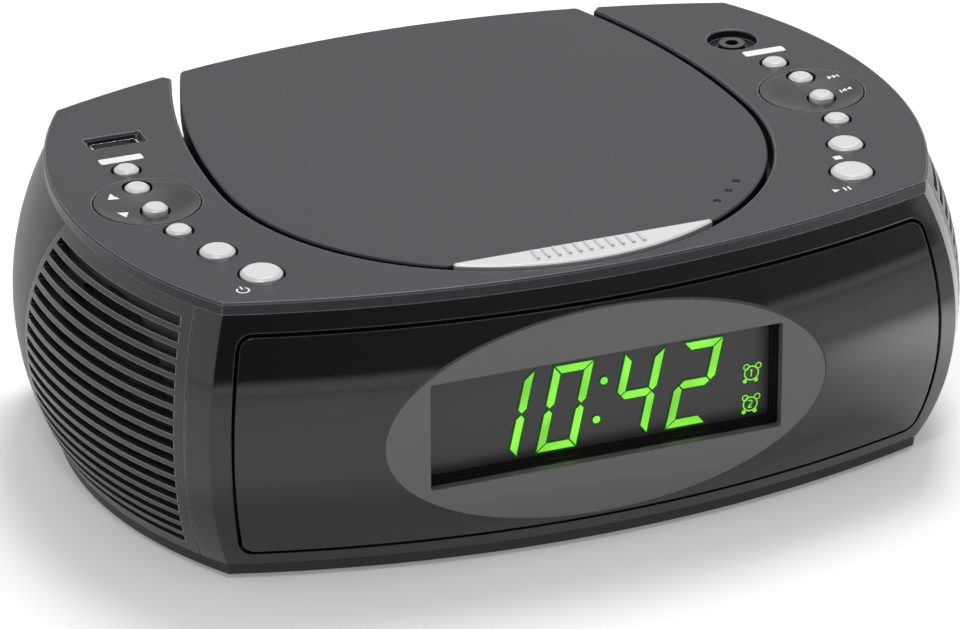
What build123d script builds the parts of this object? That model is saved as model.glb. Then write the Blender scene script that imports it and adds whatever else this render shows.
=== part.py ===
from build123d import *

import math
import os

# Clock radio with a top-loading disc player. Millimetres, +X right, +Y back, +Z up.
# The origin is on the table under the middle of the body. The housing is a barrel: four
# walls that bow outwards in plan and bulge outwards in section, met by a flat top panel.

# Plan of the top panel: four bowed edges between four corners
CORNER_X = 100.0
CORNER_DEPTH = 132.0
FRONT_BOW = 16.3
SIDE_BOW = 19.0
BACK_BOW = 18.3

# Heights, from the table up
FOOT_PROUD = 1.8
BASE_RIM = 3.2
WALL_HEIGHT = 72.6
PANEL_RIM = 3.4
BODY_BOTTOM = FOOT_PROUD + BASE_RIM
BODY_TOP = BODY_BOTTOM + WALL_HEIGHT
TOP = BODY_TOP + PANEL_RIM
BULGE_Z = (BODY_BOTTOM + BODY_TOP) / 2

# Section of the walls: how far each stands out at half height, and its tuck at the ends
FRONT_BULGE = 9.0
SIDE_BULGE = 9.5
BACK_BULGE = 5.0
TUCK = 0.4
WALL = 2.2

# Gaps between pieces
FIT_GAP = 0.3
RUN_GAP = 0.05
SLIDE_GAP = 0.25

# The front's middle is cut flat for the display. The origin is midway in Y between that
# flat and the crown of the back wall.
FACET_DEPTH = 6.2
FRONT_Y = -(CORNER_DEPTH + BACK_BOW + BACK_BULGE - FRONT_BOW - FRONT_BULGE + FACET_DEPTH) / 2
BACK_Y = FRONT_Y + CORNER_DEPTH
SIDE_Y = (FRONT_Y + BACK_Y) / 2
FAR = 400.0
ON_BASE = (Align.CENTER, Align.CENTER, Align.MIN)


def arc_radius(half_chord, bow):
    """Radius of an arc that stands `bow` out from a chord."""
    return (half_chord**2 + bow**2) / (2 * bow)


FRONT_RADIUS = arc_radius(CORNER_X, FRONT_BOW)
BACK_RADIUS = arc_radius(CORNER_X, BACK_BOW)
SIDE_RADIUS = arc_radius(CORNER_DEPTH / 2, SIDE_BOW)

# Each wall turns about its own upright axis: axis X, axis Y, plan radius, bulge
WALLS = {
    "front": (0, FRONT_Y - FRONT_BOW + FRONT_RADIUS, FRONT_RADIUS, FRONT_BULGE),
    "back": (0, BACK_Y + BACK_BOW - BACK_RADIUS, BACK_RADIUS, BACK_BULGE),
    "right": (CORNER_X + SIDE_BOW - SIDE_RADIUS, SIDE_Y, SIDE_RADIUS, SIDE_BULGE),
    "left": (SIDE_RADIUS - CORNER_X - SIDE_BOW, SIDE_Y, SIDE_RADIUS, SIDE_BULGE),
}


def section_radius(side):
    """Radius of a wall's bulge in section."""
    return arc_radius(WALL_HEIGHT / 2, WALLS[side][3] + TUCK)


def wall_reach(side, z, inset=0.0):
    """Distance of a wall's face from its upright axis at height z."""
    _, _, plan_radius, bulge = WALLS[side]
    arc = section_radius(side)
    return plan_radius + bulge - arc + math.sqrt((arc - inset) ** 2 - (z - BULGE_Z) ** 2)


def wall_solid(side, inset=0.0, low=BODY_BOTTOM, high=BODY_TOP):
    """Everything inside one bulging wall, between two heights."""
    x, y, _, _ = WALLS[side]
    ends = [wall_reach(side, z, inset) for z in (low, high)]
    crown_z = min(max(BULGE_Z, low + 1), high - 1)
    crown = wall_reach(side, crown_z, inset)
    face = ThreePointArc((ends[0], 0, low), (crown, 0, crown_z), (ends[1], 0, high))
    rest = Polyline((ends[1], 0, high), (0, 0, high), (0, 0, low), (ends[0], 0, low))
    return Pos(x, y, 0) * revolve(make_face(face + rest), Axis.Z)


def barrel(inset=0.0, low=BODY_BOTTOM, high=BODY_TOP, sides=("front", "back", "right", "left")):
    """The body's form, or an inner layer of it, from the walls named."""
    solid = wall_solid(sides[0], inset, low, high)
    for side in sides[1:]:
        solid = solid & wall_solid(side, inset, low, high)
    return solid


def slab(face, low, high):
    """A flat face on the XY plane, raised between two heights."""
    return Pos(0, 0, low) * extrude(face, high - low)


def upright(face, near, far):
    """A flat face drawn as seen from the front, run from near to far in Y."""
    return Pos(0, far, 0) * extrude(Plane.XZ * face, far - near)


def disc(x, y, diameter, low, high):
    """An upright round bar."""
    return Pos(x, y, low) * Cylinder(diameter / 2, high - low, align=ON_BASE)


def block(x, y, z, width, depth, height):
    """A box with its middle at x, y and its base at z."""
    return Pos(x, y, z) * Box(width, depth, height, align=ON_BASE)


def mirrored(x):
    """The two places of a piece that each side has."""
    return (("left", -x), ("right", x))


def every(places):
    """The same places on both sides."""
    return [(sign * x, y) for x, y in places for sign in (-1, 1)]


def plan_face(inset=0.0):
    """Outline of the top panel."""
    c, f, b = CORNER_X, FRONT_Y, BACK_Y
    edges = (
        ThreePointArc((-c, f), (0, f - FRONT_BOW), (c, f))
        + ThreePointArc((c, f), (c + SIDE_BOW, SIDE_Y), (c, b))
        + ThreePointArc((c, b), (0, b + BACK_BOW), (-c, b))
        + ThreePointArc((-c, b), (-c - SIDE_BOW, SIDE_Y), (-c, f))
    )
    face = make_face(edges)
    return offset(face, -inset) if inset else face


def lip_inset():
    """Inset of the lips on the panel and the base that locate them inside the walls."""
    lean = math.asin(WALL_HEIGHT / 2 / section_radius("right"))
    return TUCK + (GRILLE + FIT_GAP + GRILLE_BACKING) / math.cos(lean) + FIT_GAP


# Disc lid: a circle in front, a tail behind that runs out to the back edge
DISC_Y = FRONT_Y + 64.0
LID_RADIUS = 75.3
LID_TAIL_RADIUS = 211.0
LID_GAP = 1.7
OPENING_TAIL_RADIUS = 222.0
LID_SKIN = 2.2
LID_SKIRT = 6.5
LID_WALL = 2.0
LID_CORNER = 2.0
LID_CHAMFER = 0.4
LID_CHORD_Y = FRONT_Y - 0.8
HINGE_Y = BACK_Y + 2.0
HINGE_X = 50.0
HINGE_PIN = 2.2
HINGE_EYE = 2.4
HINGE_Z = TOP - LID_SKIN - HINGE_EYE - FIT_GAP
HINGE_EAR = 4.0
HINGE_BRACKET = 4.0
DIMPLE_RADIUS = 69.5
DIMPLE_ANGLES = (-40.0, -45.3, -51.3)
DIMPLE = 2.0
LATCH_ANGLE = -45.3
LID_RIBS = (24.0, 56.0)
RIB = 1.6
RIB_DROP = 2.0
LATCH_TONGUE = 4.0
LATCH_REACH = 8.2
LATCH = (6.0, 9.0, 2.3)
LATCH_FLOOR = 0.4
LATCH_ROOM = 1.6


def round_with_tail(radius, tail_radius):
    """A circle round the disc whose sides run on to the back in two long arcs."""
    offset_x = tail_radius - radius
    tail = Pos(-offset_x, DISC_Y) * Circle(tail_radius)
    tail = tail & Pos(offset_x, DISC_Y) * Circle(tail_radius)
    tail = tail & Pos(0, DISC_Y + FAR / 2) * Rectangle(FAR, FAR)
    return tail + Pos(0, DISC_Y) * Circle(radius)


def lid_opening(grow=0.0):
    """The opening round the lid. It widens behind, where the raised lid swings back."""
    return round_with_tail(LID_RADIUS + LID_GAP + grow, OPENING_TAIL_RADIUS + grow)


def lid_face(inset=0.0):
    """Outline of the lid itself, cut square for the snooze bar and on the back edge."""
    face = round_with_tail(LID_RADIUS, LID_TAIL_RADIUS) & plan_face()
    face = face & Pos(0, LID_CHORD_Y + FAR / 2) * Rectangle(FAR, FAR)
    corners = face.vertices().sort_by(Axis.Y)[-2:]
    face = fillet(corners, LID_CORNER)
    return offset(face, -inset, kind=Kind.INTERSECTION) if inset else face


def on_lid(angle):
    """A point on the circle of the press marks."""
    turn = math.radians(angle)
    return DIMPLE_RADIUS * math.cos(turn), DISC_Y + DIMPLE_RADIUS * math.sin(turn)


def lid():
    """Disc lid with its skirt, hinge ears, finger marks and latch tongue."""
    cover = slab(lid_face(), TOP - LID_SKIRT, TOP)
    cover = cover - slab(lid_face(LID_WALL), TOP - LID_SKIRT, TOP - LID_SKIN)
    cover = chamfer(cover.faces().sort_by(Axis.Z)[-1].edges(), LID_CHAMFER)
    for _, x in mirrored(HINGE_X):
        ear = Pos(x, HINGE_Y, HINGE_Z) * Rotation(0, 90, 0) * Cylinder(HINGE_EYE, HINGE_EAR)
        ear = ear + block(x, HINGE_Y, HINGE_Z, HINGE_EAR, 2 * HINGE_EYE, TOP - LID_SKIN - HINGE_Z)
        bore = Pos(x, HINGE_Y, HINGE_Z) * Rotation(0, 90, 0) * Cylinder(HINGE_PIN / 2, HINGE_EAR)
        cover = cover + ear - bore
    for angle in DIMPLE_ANGLES:
        x, y = on_lid(angle)
        cover = cover - Pos(x, y, TOP + DIMPLE / 4) * Sphere(DIMPLE / 2 + DIMPLE / 8)
    for radius in LID_RIBS:
        ring = Circle(radius + RIB / 2) - Circle(radius - RIB / 2)
        cover = cover + Pos(0, DISC_Y) * slab(ring, TOP - LID_SKIN - RIB_DROP, TOP - LID_SKIN)
    x, y = on_lid(LATCH_ANGLE)
    tongue = block(0, 0, TOP - LATCH_REACH, RIB, LATCH_TONGUE, LATCH_REACH - LID_SKIN)
    return cover + Pos(x, y, 0) * Rot(0, 0, LATCH_ANGLE) * tongue


def hinge_pins():
    """Steel pins, pressed in the lid's ears and running in the brackets outside them."""
    pins = []
    for _, x in mirrored(HINGE_X + HINGE_BRACKET / 2 + FIT_GAP / 2):
        length = HINGE_EAR + HINGE_BRACKET + FIT_GAP
        pins.append(Pos(x, HINGE_Y, HINGE_Z) * Rotation(0, 90, 0) * Cylinder(HINGE_PIN / 2, length))
    return Compound(children=pins)


# Top panel: one skin with a rim all round, open behind for the lid's tail
PANEL_SKIN = 2.4
PANEL_EDGE = 0.5
HORN = 3.0
RIM_BEVEL = 0.3
LIP = 1.4
LIP_DROP = 2.0

# Control dishes: a shallow bowl on each side that holds two of the buttons
DISH_X = 96.9
DISH_Y = FRONT_Y + 66.1
DISH_RADIUS = 14.25
DISH_DEPTH = 2.6
DISH_WALL = 1.3
DISH_TAB = 14.0
DISH_RIM = 0.6

# Buttons on each side, mirrored: left name, right name, X, Y, diameter, stands in the dish
BUTTONS = (
    ("alarm_one", "alarm_two", 95.3, FRONT_Y + 87.3, 7.6, False),
    ("volume_up", "tune_up", 97.1, FRONT_Y + 73.4, 7.6, True),
    ("volume_down", "tune_down", 97.2, FRONT_Y + 59.0, 7.6, True),
    ("clock", "mode", 95.2, FRONT_Y + 46.1, 7.6, False),
    ("source", "sleep", 90.3, FRONT_Y + 29.9, 10.8, False),
    ("power", "play", 84.3, FRONT_Y + 13.05, 12.3, False),
)
BUTTON_PROUD = 1.8
BUTTON_PROUD_DISH = 1.0
BUTTON_HOLE_GAP = 0.8
BUTTON_CHAMFER = 0.7
BUTTON_FLANGE = 1.0
BUTTON_FLANGE_LIP = 0.9
BUTTON_STEM = 3.0
BUTTON_TRAVEL = 1.2
BOARD_DROP = 14.0
BOARD = 1.6
BOARD_MARGIN = 9.0
BOARD_BOSSES = ((93.2, FRONT_Y + 19.4), (102.5, FRONT_Y + 83.0))
BOSS_RADIUS = 1.8
SWITCH = 6.0
SWITCH_HEIGHT = 4.3
PLUNGER = 3.0
PLUNGER_PROUD = 0.4
PLUNGER_SHOWS = 1.0

# Sockets that open upwards, in the panel's rear corners
USB_X = -91.7
USB_Y = BACK_Y - 25.1
USB_WELL = (16.5, 7.4)
USB_WELL_SLOPE = 1.2
USB_SUNK = 1.5
USB_SHELL = (13.4, 5.7)
USB_SHELL_WALL = 0.45
USB_LENGTH = 13.0
USB_TONGUE = (11.0, 1.9)
USB_TONGUE_GAP = 0.5
USB_TONGUE_SUNK = 1.5
USB_FLOOR = 1.35
JACK_X = 91.0
JACK_Y = BACK_Y - 25.4
JACK_WELL = 14.0
JACK_WELL_DEPTH = 2.4
JACK_COLLAR = 7.4
JACK_COLLAR_RISE = 1.5
JACK_BORE = 3.6
JACK_LENGTH = 13.0
JACK_BODY = (12.0, 11.0)


def usb_face(grow=0.0):
    """Outline of the well round the socket."""
    return Pos(USB_X, USB_Y) * Rectangle(USB_WELL[0] + grow, USB_WELL[1] + grow)


def rim_bevel(x, y, diameter):
    """Small bevel round a hole in the top face."""
    cone = Cone(diameter / 2, diameter / 2 + RIM_BEVEL, RIM_BEVEL, align=ON_BASE)
    return Pos(x, y, TOP - RIM_BEVEL) * cone


def top_panel():
    """Top skin and rim, with every opening that the panel has."""
    plan = plan_face() - lid_opening()
    horns = plan.vertices().sort_by(Axis.Y)[-2:]
    panel = slab(chamfer(horns, HORN), BODY_TOP, TOP)
    panel = chamfer(panel.faces().sort_by(Axis.Z)[-1].edges(), PANEL_EDGE)
    panel = panel - slab(plan_face(WALL), BODY_TOP, TOP - PANEL_SKIN)
    lip = plan_face(lip_inset()) - plan_face(lip_inset() + LIP)
    lip = lip - lid_opening(WELL_FLANGE + FIT_GAP)
    lip = lip - Pos(0, BACK_Y) * Rectangle(2 * CORNER_X, 2 * BACK_BOW)
    panel = panel + slab(lip, BODY_TOP - LIP_DROP, TOP - PANEL_SKIN)
    panel = panel - slab(lid_opening(), BODY_TOP - LIP_DROP, TOP)
    for _, x in mirrored(DISH_X):
        panel = panel - disc(x, DISH_Y, 2 * (DISH_RADIUS + FIT_GAP), BODY_TOP - LIP_DROP, TOP)
        panel = panel - rim_bevel(x, DISH_Y, 2 * (DISH_RADIUS + FIT_GAP))
        tabs = 2 * (DISH_RADIUS + DISH_WALL + FIT_GAP)
        panel = panel - disc(x, DISH_Y, tabs, BODY_TOP - LIP_DROP, TOP - PANEL_SKIN)
    for _, _, x, y, diameter, in_dish in BUTTONS:
        if not in_dish:
            for _, place in mirrored(x):
                hole = diameter + 2 * BUTTON_HOLE_GAP
                panel = panel - disc(place, y, hole, BODY_TOP, TOP)
                panel = panel - rim_bevel(place, y, hole)
    for x, y in every(BOARD_BOSSES):
        panel = panel + disc(x, y, 2 * BOSS_RADIUS, TOP - BOARD_DROP + BOARD, TOP - PANEL_SKIN)
    well_floor = TOP - PANEL_SKIN - USB_SUNK
    panel = panel + slab(usb_face(2 * WALL), well_floor, TOP - PANEL_SKIN)
    mouth = loft([Pos(0, 0, TOP) * usb_face(), Pos(0, 0, TOP - USB_SUNK) * usb_face(-2 * USB_WELL_SLOPE)])
    throat = Pos(USB_X, USB_Y) * Rectangle(USB_SHELL[0] + 2 * FIT_GAP, USB_SHELL[1] + 2 * FIT_GAP)
    panel = panel - mouth - slab(throat, well_floor, TOP)
    cup_low = TOP - JACK_WELL_DEPTH - PANEL_SKIN
    panel = panel + disc(JACK_X, JACK_Y, JACK_WELL + 2 * WALL, cup_low, TOP - PANEL_SKIN)
    panel = panel - disc(JACK_X, JACK_Y, JACK_WELL, TOP - JACK_WELL_DEPTH, TOP)
    panel = panel - rim_bevel(JACK_X, JACK_Y, JACK_WELL)
    return panel - disc(JACK_X, JACK_Y, JACK_COLLAR + 2 * FIT_GAP, cup_low, TOP)


def control_dish(x):
    """Shallow bowl let into the panel, with a flange that hooks under the skin."""
    sphere = arc_radius(DISH_RADIUS - DISH_RIM, DISH_DEPTH)
    cup = disc(x, DISH_Y, 2 * DISH_RADIUS, TOP - DISH_DEPTH - DISH_WALL, TOP)
    flange_high = TOP - PANEL_SKIN - FIT_GAP
    tabs = disc(x, DISH_Y, 2 * (DISH_RADIUS + DISH_WALL), TOP - DISH_DEPTH - DISH_WALL, flange_high)
    cup = cup + (tabs & block(x, DISH_Y, BODY_BOTTOM, FAR, DISH_TAB, FAR))
    cup = cup - Pos(x, DISH_Y, TOP - DISH_DEPTH + sphere) * Sphere(sphere)
    for _, _, _, y, diameter, in_dish in BUTTONS:
        if in_dish:
            hole = diameter + 2 * BUTTON_HOLE_GAP
            cup = cup - disc(x, y, hole, TOP - DISH_DEPTH - DISH_WALL, TOP)
    return cup


def button(x, y, diameter, in_dish):
    """Silver cap with a chamfered rim, a flange that keeps it in, and a stem to its switch."""
    proud = BUTTON_PROUD_DISH if in_dish else BUTTON_PROUD
    underside = DISH_DEPTH + DISH_WALL if in_dish else PANEL_SKIN
    flange_high = TOP - underside - FIT_GAP
    cap = disc(x, y, diameter, flange_high - BUTTON_FLANGE, TOP + proud)
    cap = chamfer(cap.edges().sort_by(Axis.Z)[-1], BUTTON_CHAMFER)
    flange = diameter + 2 * (BUTTON_HOLE_GAP + BUTTON_FLANGE_LIP)
    stem_low = switch_top() + BUTTON_TRAVEL + FIT_GAP
    return (
        cap
        + disc(x, y, flange, flange_high - BUTTON_FLANGE, flange_high)
        + disc(x, y, BUTTON_STEM, stem_low, flange_high)
    )


def switch_top():
    """Height of the switches' plungers on the button boards."""
    return TOP - BOARD_DROP + BOARD + SWITCH_HEIGHT + PLUNGER_PROUD


def button_board(x_sign):
    """Narrow circuit board under a row of buttons, with a push switch for each."""
    pads = Sketch() + [Pos(x_sign * x, y) * Circle(BOARD_MARGIN) for _, _, x, y, _, _ in BUTTONS]
    low = TOP - BOARD_DROP
    board = slab(make_hull(pads.edges()), low, low + BOARD)
    for _, _, x, y, _, _ in BUTTONS:
        board = board + block(x_sign * x, y, low, SWITCH, SWITCH, BOARD + SWITCH_HEIGHT - PLUNGER_SHOWS)
        board = board + disc(x_sign * x, y, PLUNGER, low, switch_top())
    return board


def usb_socket():
    """Folded steel shell, open at the top."""
    high = TOP - USB_SUNK
    outer = block(USB_X, USB_Y, high - USB_LENGTH, *USB_SHELL, USB_LENGTH)
    inner = [size - 2 * USB_SHELL_WALL for size in USB_SHELL]
    return outer - block(USB_X, USB_Y, high - USB_LENGTH + USB_FLOOR, *inner, USB_LENGTH)


def usb_tongue():
    """Contact tongue inside the socket."""
    low = TOP - USB_SUNK - USB_LENGTH + USB_FLOOR
    offset_y = USB_SHELL[1] / 2 - USB_SHELL_WALL - USB_TONGUE[1] / 2 - USB_TONGUE_GAP
    return block(USB_X, USB_Y + offset_y, low, *USB_TONGUE, USB_LENGTH - USB_FLOOR - USB_TONGUE_SUNK)


def phone_jack():
    """Socket body under the panel with a collar that stands in the round well."""
    high = TOP - JACK_WELL_DEPTH + JACK_COLLAR_RISE
    floor = TOP - JACK_WELL_DEPTH - PANEL_SKIN - FIT_GAP
    body = block(JACK_X, JACK_Y, floor - JACK_LENGTH, *JACK_BODY, JACK_LENGTH)
    body = body + disc(JACK_X, JACK_Y, JACK_COLLAR, floor, high)
    return body - disc(JACK_X, JACK_Y, JACK_BORE, floor - JACK_LENGTH + WALL, high)


# Snooze bar: the piece of the lid's circle in front of its square edge
SNOOZE_RADIUS = 76.0
SNOOZE_PROUD = 0.9
SNOOZE_THICK = 3.4
SNOOZE_TIP_X = 36.5
SNOOZE_PEG = 3.0
SNOOZE_PEG_X = 20.0
SNOOZE_PEG_Y = FRONT_Y - 4.0
SNOOZE_TRAVEL = 1.2
SNOOZE_BACK_GAP = 0.5
SNOOZE_BACK_Y = LID_CHORD_Y - SNOOZE_BACK_GAP
SNOOZE_RIBS = 11
SNOOZE_RIB_PITCH = 3.0
SNOOZE_RIB = 0.5
SNOOZE_RIB_LENGTH = 5.0
SNOOZE_RIB_Y = FRONT_Y - 5.0


def snooze_bar():
    """Silver bar with grip ribs, guided by two pegs in the deck below."""
    face = Pos(0, DISC_Y) * Circle(SNOOZE_RADIUS)
    face = face & Pos(0, SNOOZE_BACK_Y - FAR / 2) * Rectangle(2 * SNOOZE_TIP_X, FAR)
    bar = slab(face, TOP + SNOOZE_PROUD - SNOOZE_THICK, TOP + SNOOZE_PROUD)
    bar = chamfer(bar.faces().sort_by(Axis.Z)[-1].edges(), SNOOZE_PROUD / 2)
    for number in range(SNOOZE_RIBS):
        x = (number - (SNOOZE_RIBS - 1) / 2) * SNOOZE_RIB_PITCH
        rib = Rotation(90, 0, 0) * Cylinder(SNOOZE_RIB, SNOOZE_RIB_LENGTH)
        bar = bar + Pos(x, SNOOZE_RIB_Y, TOP + SNOOZE_PROUD) * rib
    for _, x in mirrored(SNOOZE_PEG_X):
        low = TOP - LEDGE_DROP - LEDGE - SNOOZE_TRAVEL
        bar = bar + disc(x, SNOOZE_PEG_Y, SNOOZE_PEG, low, TOP)
    return bar


# Disc well: the moulding under the lid, with a ledge, a bowl and a rear notch
WELL_FLANGE = 3.6
WELL_WALL = 1.8
LEDGE_DROP = 9.0
LEDGE = 2.0
BOWL_RADIUS = 64.0
BOWL_DROP = 15.5
NOTCH_Y = BACK_Y - 14.0
NOTCH_DROP = 22.0
HUB_HOLE = 34.0
SLOT_WIDTH = 26.0
SLOT_REACH = 52.0


def notch_face(grow=0.0):
    """Plan of the space behind the bowl that the lid's tail swings into."""
    zone = lid_opening(grow)
    zone = zone & Pos(0, NOTCH_Y - grow + FAR / 2) * Rectangle(FAR, FAR)
    return zone - Pos(0, DISC_Y) * Circle(BOWL_RADIUS + 2 * WELL_WALL - grow)


def cd_well():
    """Deck that carries the mechanism, lies under the panel and closes round the disc."""
    high = TOP - PANEL_SKIN
    deck = slab(lid_opening(WELL_WALL), TOP - LEDGE_DROP - LEDGE, high)
    deck = deck + slab(lid_opening(WELL_FLANGE), high - LEDGE, high)
    deck = deck + disc(0, DISC_Y, 2 * (BOWL_RADIUS + WELL_WALL), TOP - BOWL_DROP - LEDGE, high)
    deck = deck + slab(notch_face(WELL_WALL), TOP - NOTCH_DROP - LEDGE, high)
    deck = deck - slab(lid_opening(), TOP - LEDGE_DROP, TOP)
    deck = deck - disc(0, DISC_Y, 2 * BOWL_RADIUS, TOP - BOWL_DROP, TOP)
    deck = deck - slab(notch_face(), TOP - NOTCH_DROP, TOP)
    deck = deck & barrel(WALL + FIT_GAP, BODY_BOTTOM, high)
    deck = deck & wall_solid("front", LENS + LEDGE_BEHIND + 2 * FIT_GAP, BODY_BOTTOM, high)
    for _, x in mirrored(HINGE_X + HINGE_EAR / 2 + FIT_GAP + HINGE_BRACKET / 2):
        post_low = TOP - NOTCH_DROP
        eye = Pos(x, HINGE_Y, HINGE_Z) * Rotation(0, 90, 0) * Cylinder(HINGE_EYE, HINGE_BRACKET)
        post = block(x, HINGE_Y, post_low, HINGE_BRACKET, 2 * HINGE_EYE, HINGE_Z - post_low)
        hole = Rotation(0, 90, 0) * Cylinder(HINGE_PIN / 2 + RUN_GAP, HINGE_BRACKET)
        deck = deck + eye + post - Pos(x, HINGE_Y, HINGE_Z) * hole
    deck = deck - disc(0, DISC_Y, HUB_HOLE, TOP - BOWL_DROP - LEDGE, TOP)
    slot = SlotCenterToCenter(2 * (SLOT_REACH - SLOT_WIDTH / 2), SLOT_WIDTH, rotation=90)
    slot = slot & Pos(0, -FAR / 2) * Rectangle(FAR, FAR)
    deck = deck - Pos(0, DISC_Y) * slab(slot, TOP - BOWL_DROP - LEDGE, TOP - BOWL_DROP)
    for _, x in mirrored(SNOOZE_PEG_X):
        hole = SNOOZE_PEG + 2 * SLIDE_GAP
        deck = deck - disc(x, SNOOZE_PEG_Y, hole, TOP - LEDGE_DROP - LEDGE, TOP - LEDGE_DROP)
    return deck


# Front: a glossy frame with a lens panel let into it
FASCIA_RETURN = 5.2
FASCIA_SEAM = 0.2
LENS_TOP = TOP - 9.0
LENS_BOTTOM = TOP - 71.2
LENS_END_X = 96.3
LENS_MID_X = 100.6
LENS_CORNER = 4.0
LENS_GROOVE = 1.0
LENS = 2.4
LEDGE_BEHIND = 2.0
LEDGE_LAP = 2.0
FACET_Y = FRONT_Y - FRONT_BOW - FRONT_BULGE + FACET_DEPTH

# Display: a window in the flat oval, a stepped tunnel and the lit face at its end
WINDOW = (100.0, 30.6)
WINDOW_Z = TOP - 39.4
WINDOW_CORNER = 0.8
TUNNEL_DEPTH = 6.5
TUNNEL_STEP = 0.5
TUNNEL_STEPS = 3
TUNNEL_RIM = 4.0
FILTER = 1.2
MODULE_DEPTH = 7.0
MODULE_INSET = 1.0
DISPLAY_BOARD_LAP = (6.0, 8.0)
DIGIT_HEIGHT = 23.6
DIGIT_WIDTH = 9.2
DIGIT_SLANT = 12.5
DIGIT_STROKE = 1.8
DIGIT_GAP = 0.5
DIGIT_Z = TOP - 40.7
DIGIT_X = (-23.6, -7.3, 13.4, 29.9)
COLON_X = 0.5
COLON_RISE = 5.5
LIT_DEPTH = 0.25


def lens_face(grow=0.0):
    """Rounded outline with bowed ends, as seen from the front."""
    middle = (LENS_TOP + LENS_BOTTOM) / 2
    a, b = LENS_END_X, LENS_MID_X
    edges = (
        Line((-a, LENS_TOP), (a, LENS_TOP))
        + ThreePointArc((a, LENS_TOP), (b, middle), (a, LENS_BOTTOM))
        + Line((a, LENS_BOTTOM), (-a, LENS_BOTTOM))
        + ThreePointArc((-a, LENS_BOTTOM), (-b, middle), (-a, LENS_TOP))
    )
    face = make_face(edges)
    face = fillet(face.vertices(), LENS_CORNER)
    return offset(face, grow) if grow else face


def front_layer(face, outer, inner):
    """The part of the front wall between two depths, inside an outline."""
    run = upright(face, FRONT_Y - 2 * FRONT_BOW, FRONT_Y + FRONT_BOW)
    layer = run & wall_solid("front", outer)
    return layer - wall_solid("front", inner)


def ahead_of(y):
    """Everything in front of an upright plane."""
    return block(0, y - FAR / 2, -FAR / 2, FAR, FAR, FAR)


def front_fascia():
    """Front wall that turns back round both corners, with a rebate for the lens panel."""
    fascia = barrel() - wall_solid("front", FASCIA_RETURN, BODY_BOTTOM, BODY_TOP)
    cavity = barrel(WALL, BODY_BOTTOM + WALL, BODY_TOP)
    fascia = fascia - cavity
    opening = lens_face(LENS_GROOVE)
    behind = LENS + FIT_GAP
    frame = front_layer(lens_face(LENS_GROOVE + WALL), 0.0, behind + LEDGE_BEHIND)
    fascia = fascia + (frame & barrel())
    run = upright(opening, FRONT_Y - 2 * FRONT_BOW, FRONT_Y + FRONT_BOW)
    fascia = fascia - (run - wall_solid("front", behind)) - (run & ahead_of(FACET_Y + behind))
    inner = upright(lens_face(-LEDGE_LAP), FRONT_Y - 2 * FRONT_BOW, FRONT_Y + 2 * FRONT_BOW)
    return fascia - inner


def window_face(shrink=0.0):
    """Outline of the window, or of a step further in."""
    width, height = (size - 2 * shrink for size in WINDOW)
    return Pos(0, WINDOW_Z) * RectangleRounded(width, height, WINDOW_CORNER)


def lens_panel():
    """Glossy panel whose middle is cut flat, which gives the oval, with the window in it."""
    run = upright(lens_face(), FRONT_Y - 2 * FRONT_BOW, FRONT_Y + FRONT_BOW)
    outer = run & wall_solid("front")
    panel = (outer - wall_solid("front", LENS)) + (outer & ahead_of(FACET_Y + LENS))
    panel = panel - ahead_of(FACET_Y)
    return panel - upright(window_face(), FACET_Y - FACET_DEPTH, FACET_Y + 2 * LENS)


def display_bezel():
    """Black tunnel behind the window, narrowing in small steps."""
    near = FACET_Y + LENS + FIT_GAP / 3
    far = FACET_Y + TUNNEL_DEPTH
    rim = Pos(0, WINDOW_Z) * Rectangle(WINDOW[0] + 2 * TUNNEL_RIM, WINDOW[1] + 2 * TUNNEL_RIM)
    bezel = upright(rim, near, far)
    step = (far - near) / TUNNEL_STEPS
    for number in range(TUNNEL_STEPS):
        hole = window_face(TUNNEL_STEP * number)
        bezel = bezel - upright(hole, near, near + step * (number + 1))
    return bezel & wall_solid("front", LENS + FIT_GAP)


def display_filter():
    """Smoked plate that closes the tunnel."""
    face = Pos(0, WINDOW_Z) * Rectangle(WINDOW[0] + TUNNEL_RIM, WINDOW[1] + TUNNEL_RIM)
    return upright(face, FACET_Y + TUNNEL_DEPTH, FACET_Y + TUNNEL_DEPTH + FILTER)


def bar_shape(start, end):
    """One display segment: a bar with pointed ends between two points."""
    (x1, z1), (x2, z2) = start, end
    length = math.hypot(x2 - x1, z2 - z1)
    along = ((x2 - x1) / length, (z2 - z1) / length)
    half = DIGIT_STROKE / 2
    across = (-along[1] * half, along[0] * half)
    points = []
    for step, side in ((0, 0), (half, 1), (length - half, 1), (length, 0), (length - half, -1), (half, -1)):
        points.append(
            (x1 + along[0] * step + across[0] * side, z1 + along[1] * step + across[1] * side)
        )
    return make_face(Polyline(*points, close=True))


def digit_bars(value, x):
    """The lit bars of one slanted digit."""
    lean = math.tan(math.radians(DIGIT_SLANT))
    lit = {"1": "bc", "0": "abcdef", "4": "bcfg", "2": "abdeg"}[value]
    half_w, half_h = DIGIT_WIDTH / 2, DIGIT_HEIGHT / 2
    corners = {
        "a": ((-half_w, half_h), (half_w, half_h)),
        "b": ((half_w, half_h), (half_w, 0)),
        "c": ((half_w, 0), (half_w, -half_h)),
        "d": ((-half_w, -half_h), (half_w, -half_h)),
        "e": ((-half_w, 0), (-half_w, -half_h)),
        "f": ((-half_w, half_h), (-half_w, 0)),
        "g": ((-half_w, 0), (half_w, 0)),
    }
    bars = []
    for name in lit:
        (x1, z1), (x2, z2) = corners[name]
        length = math.hypot(x2 - x1, z2 - z1)
        ux, uz = (x2 - x1) / length * DIGIT_GAP, (z2 - z1) / length * DIGIT_GAP
        ends = [(x1 + ux, z1 + uz), (x2 - ux, z2 - uz)]
        places = [(x + px + pz * lean, DIGIT_Z + pz) for px, pz in ends]
        bars.append(bar_shape(*places))
    return bars


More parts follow.
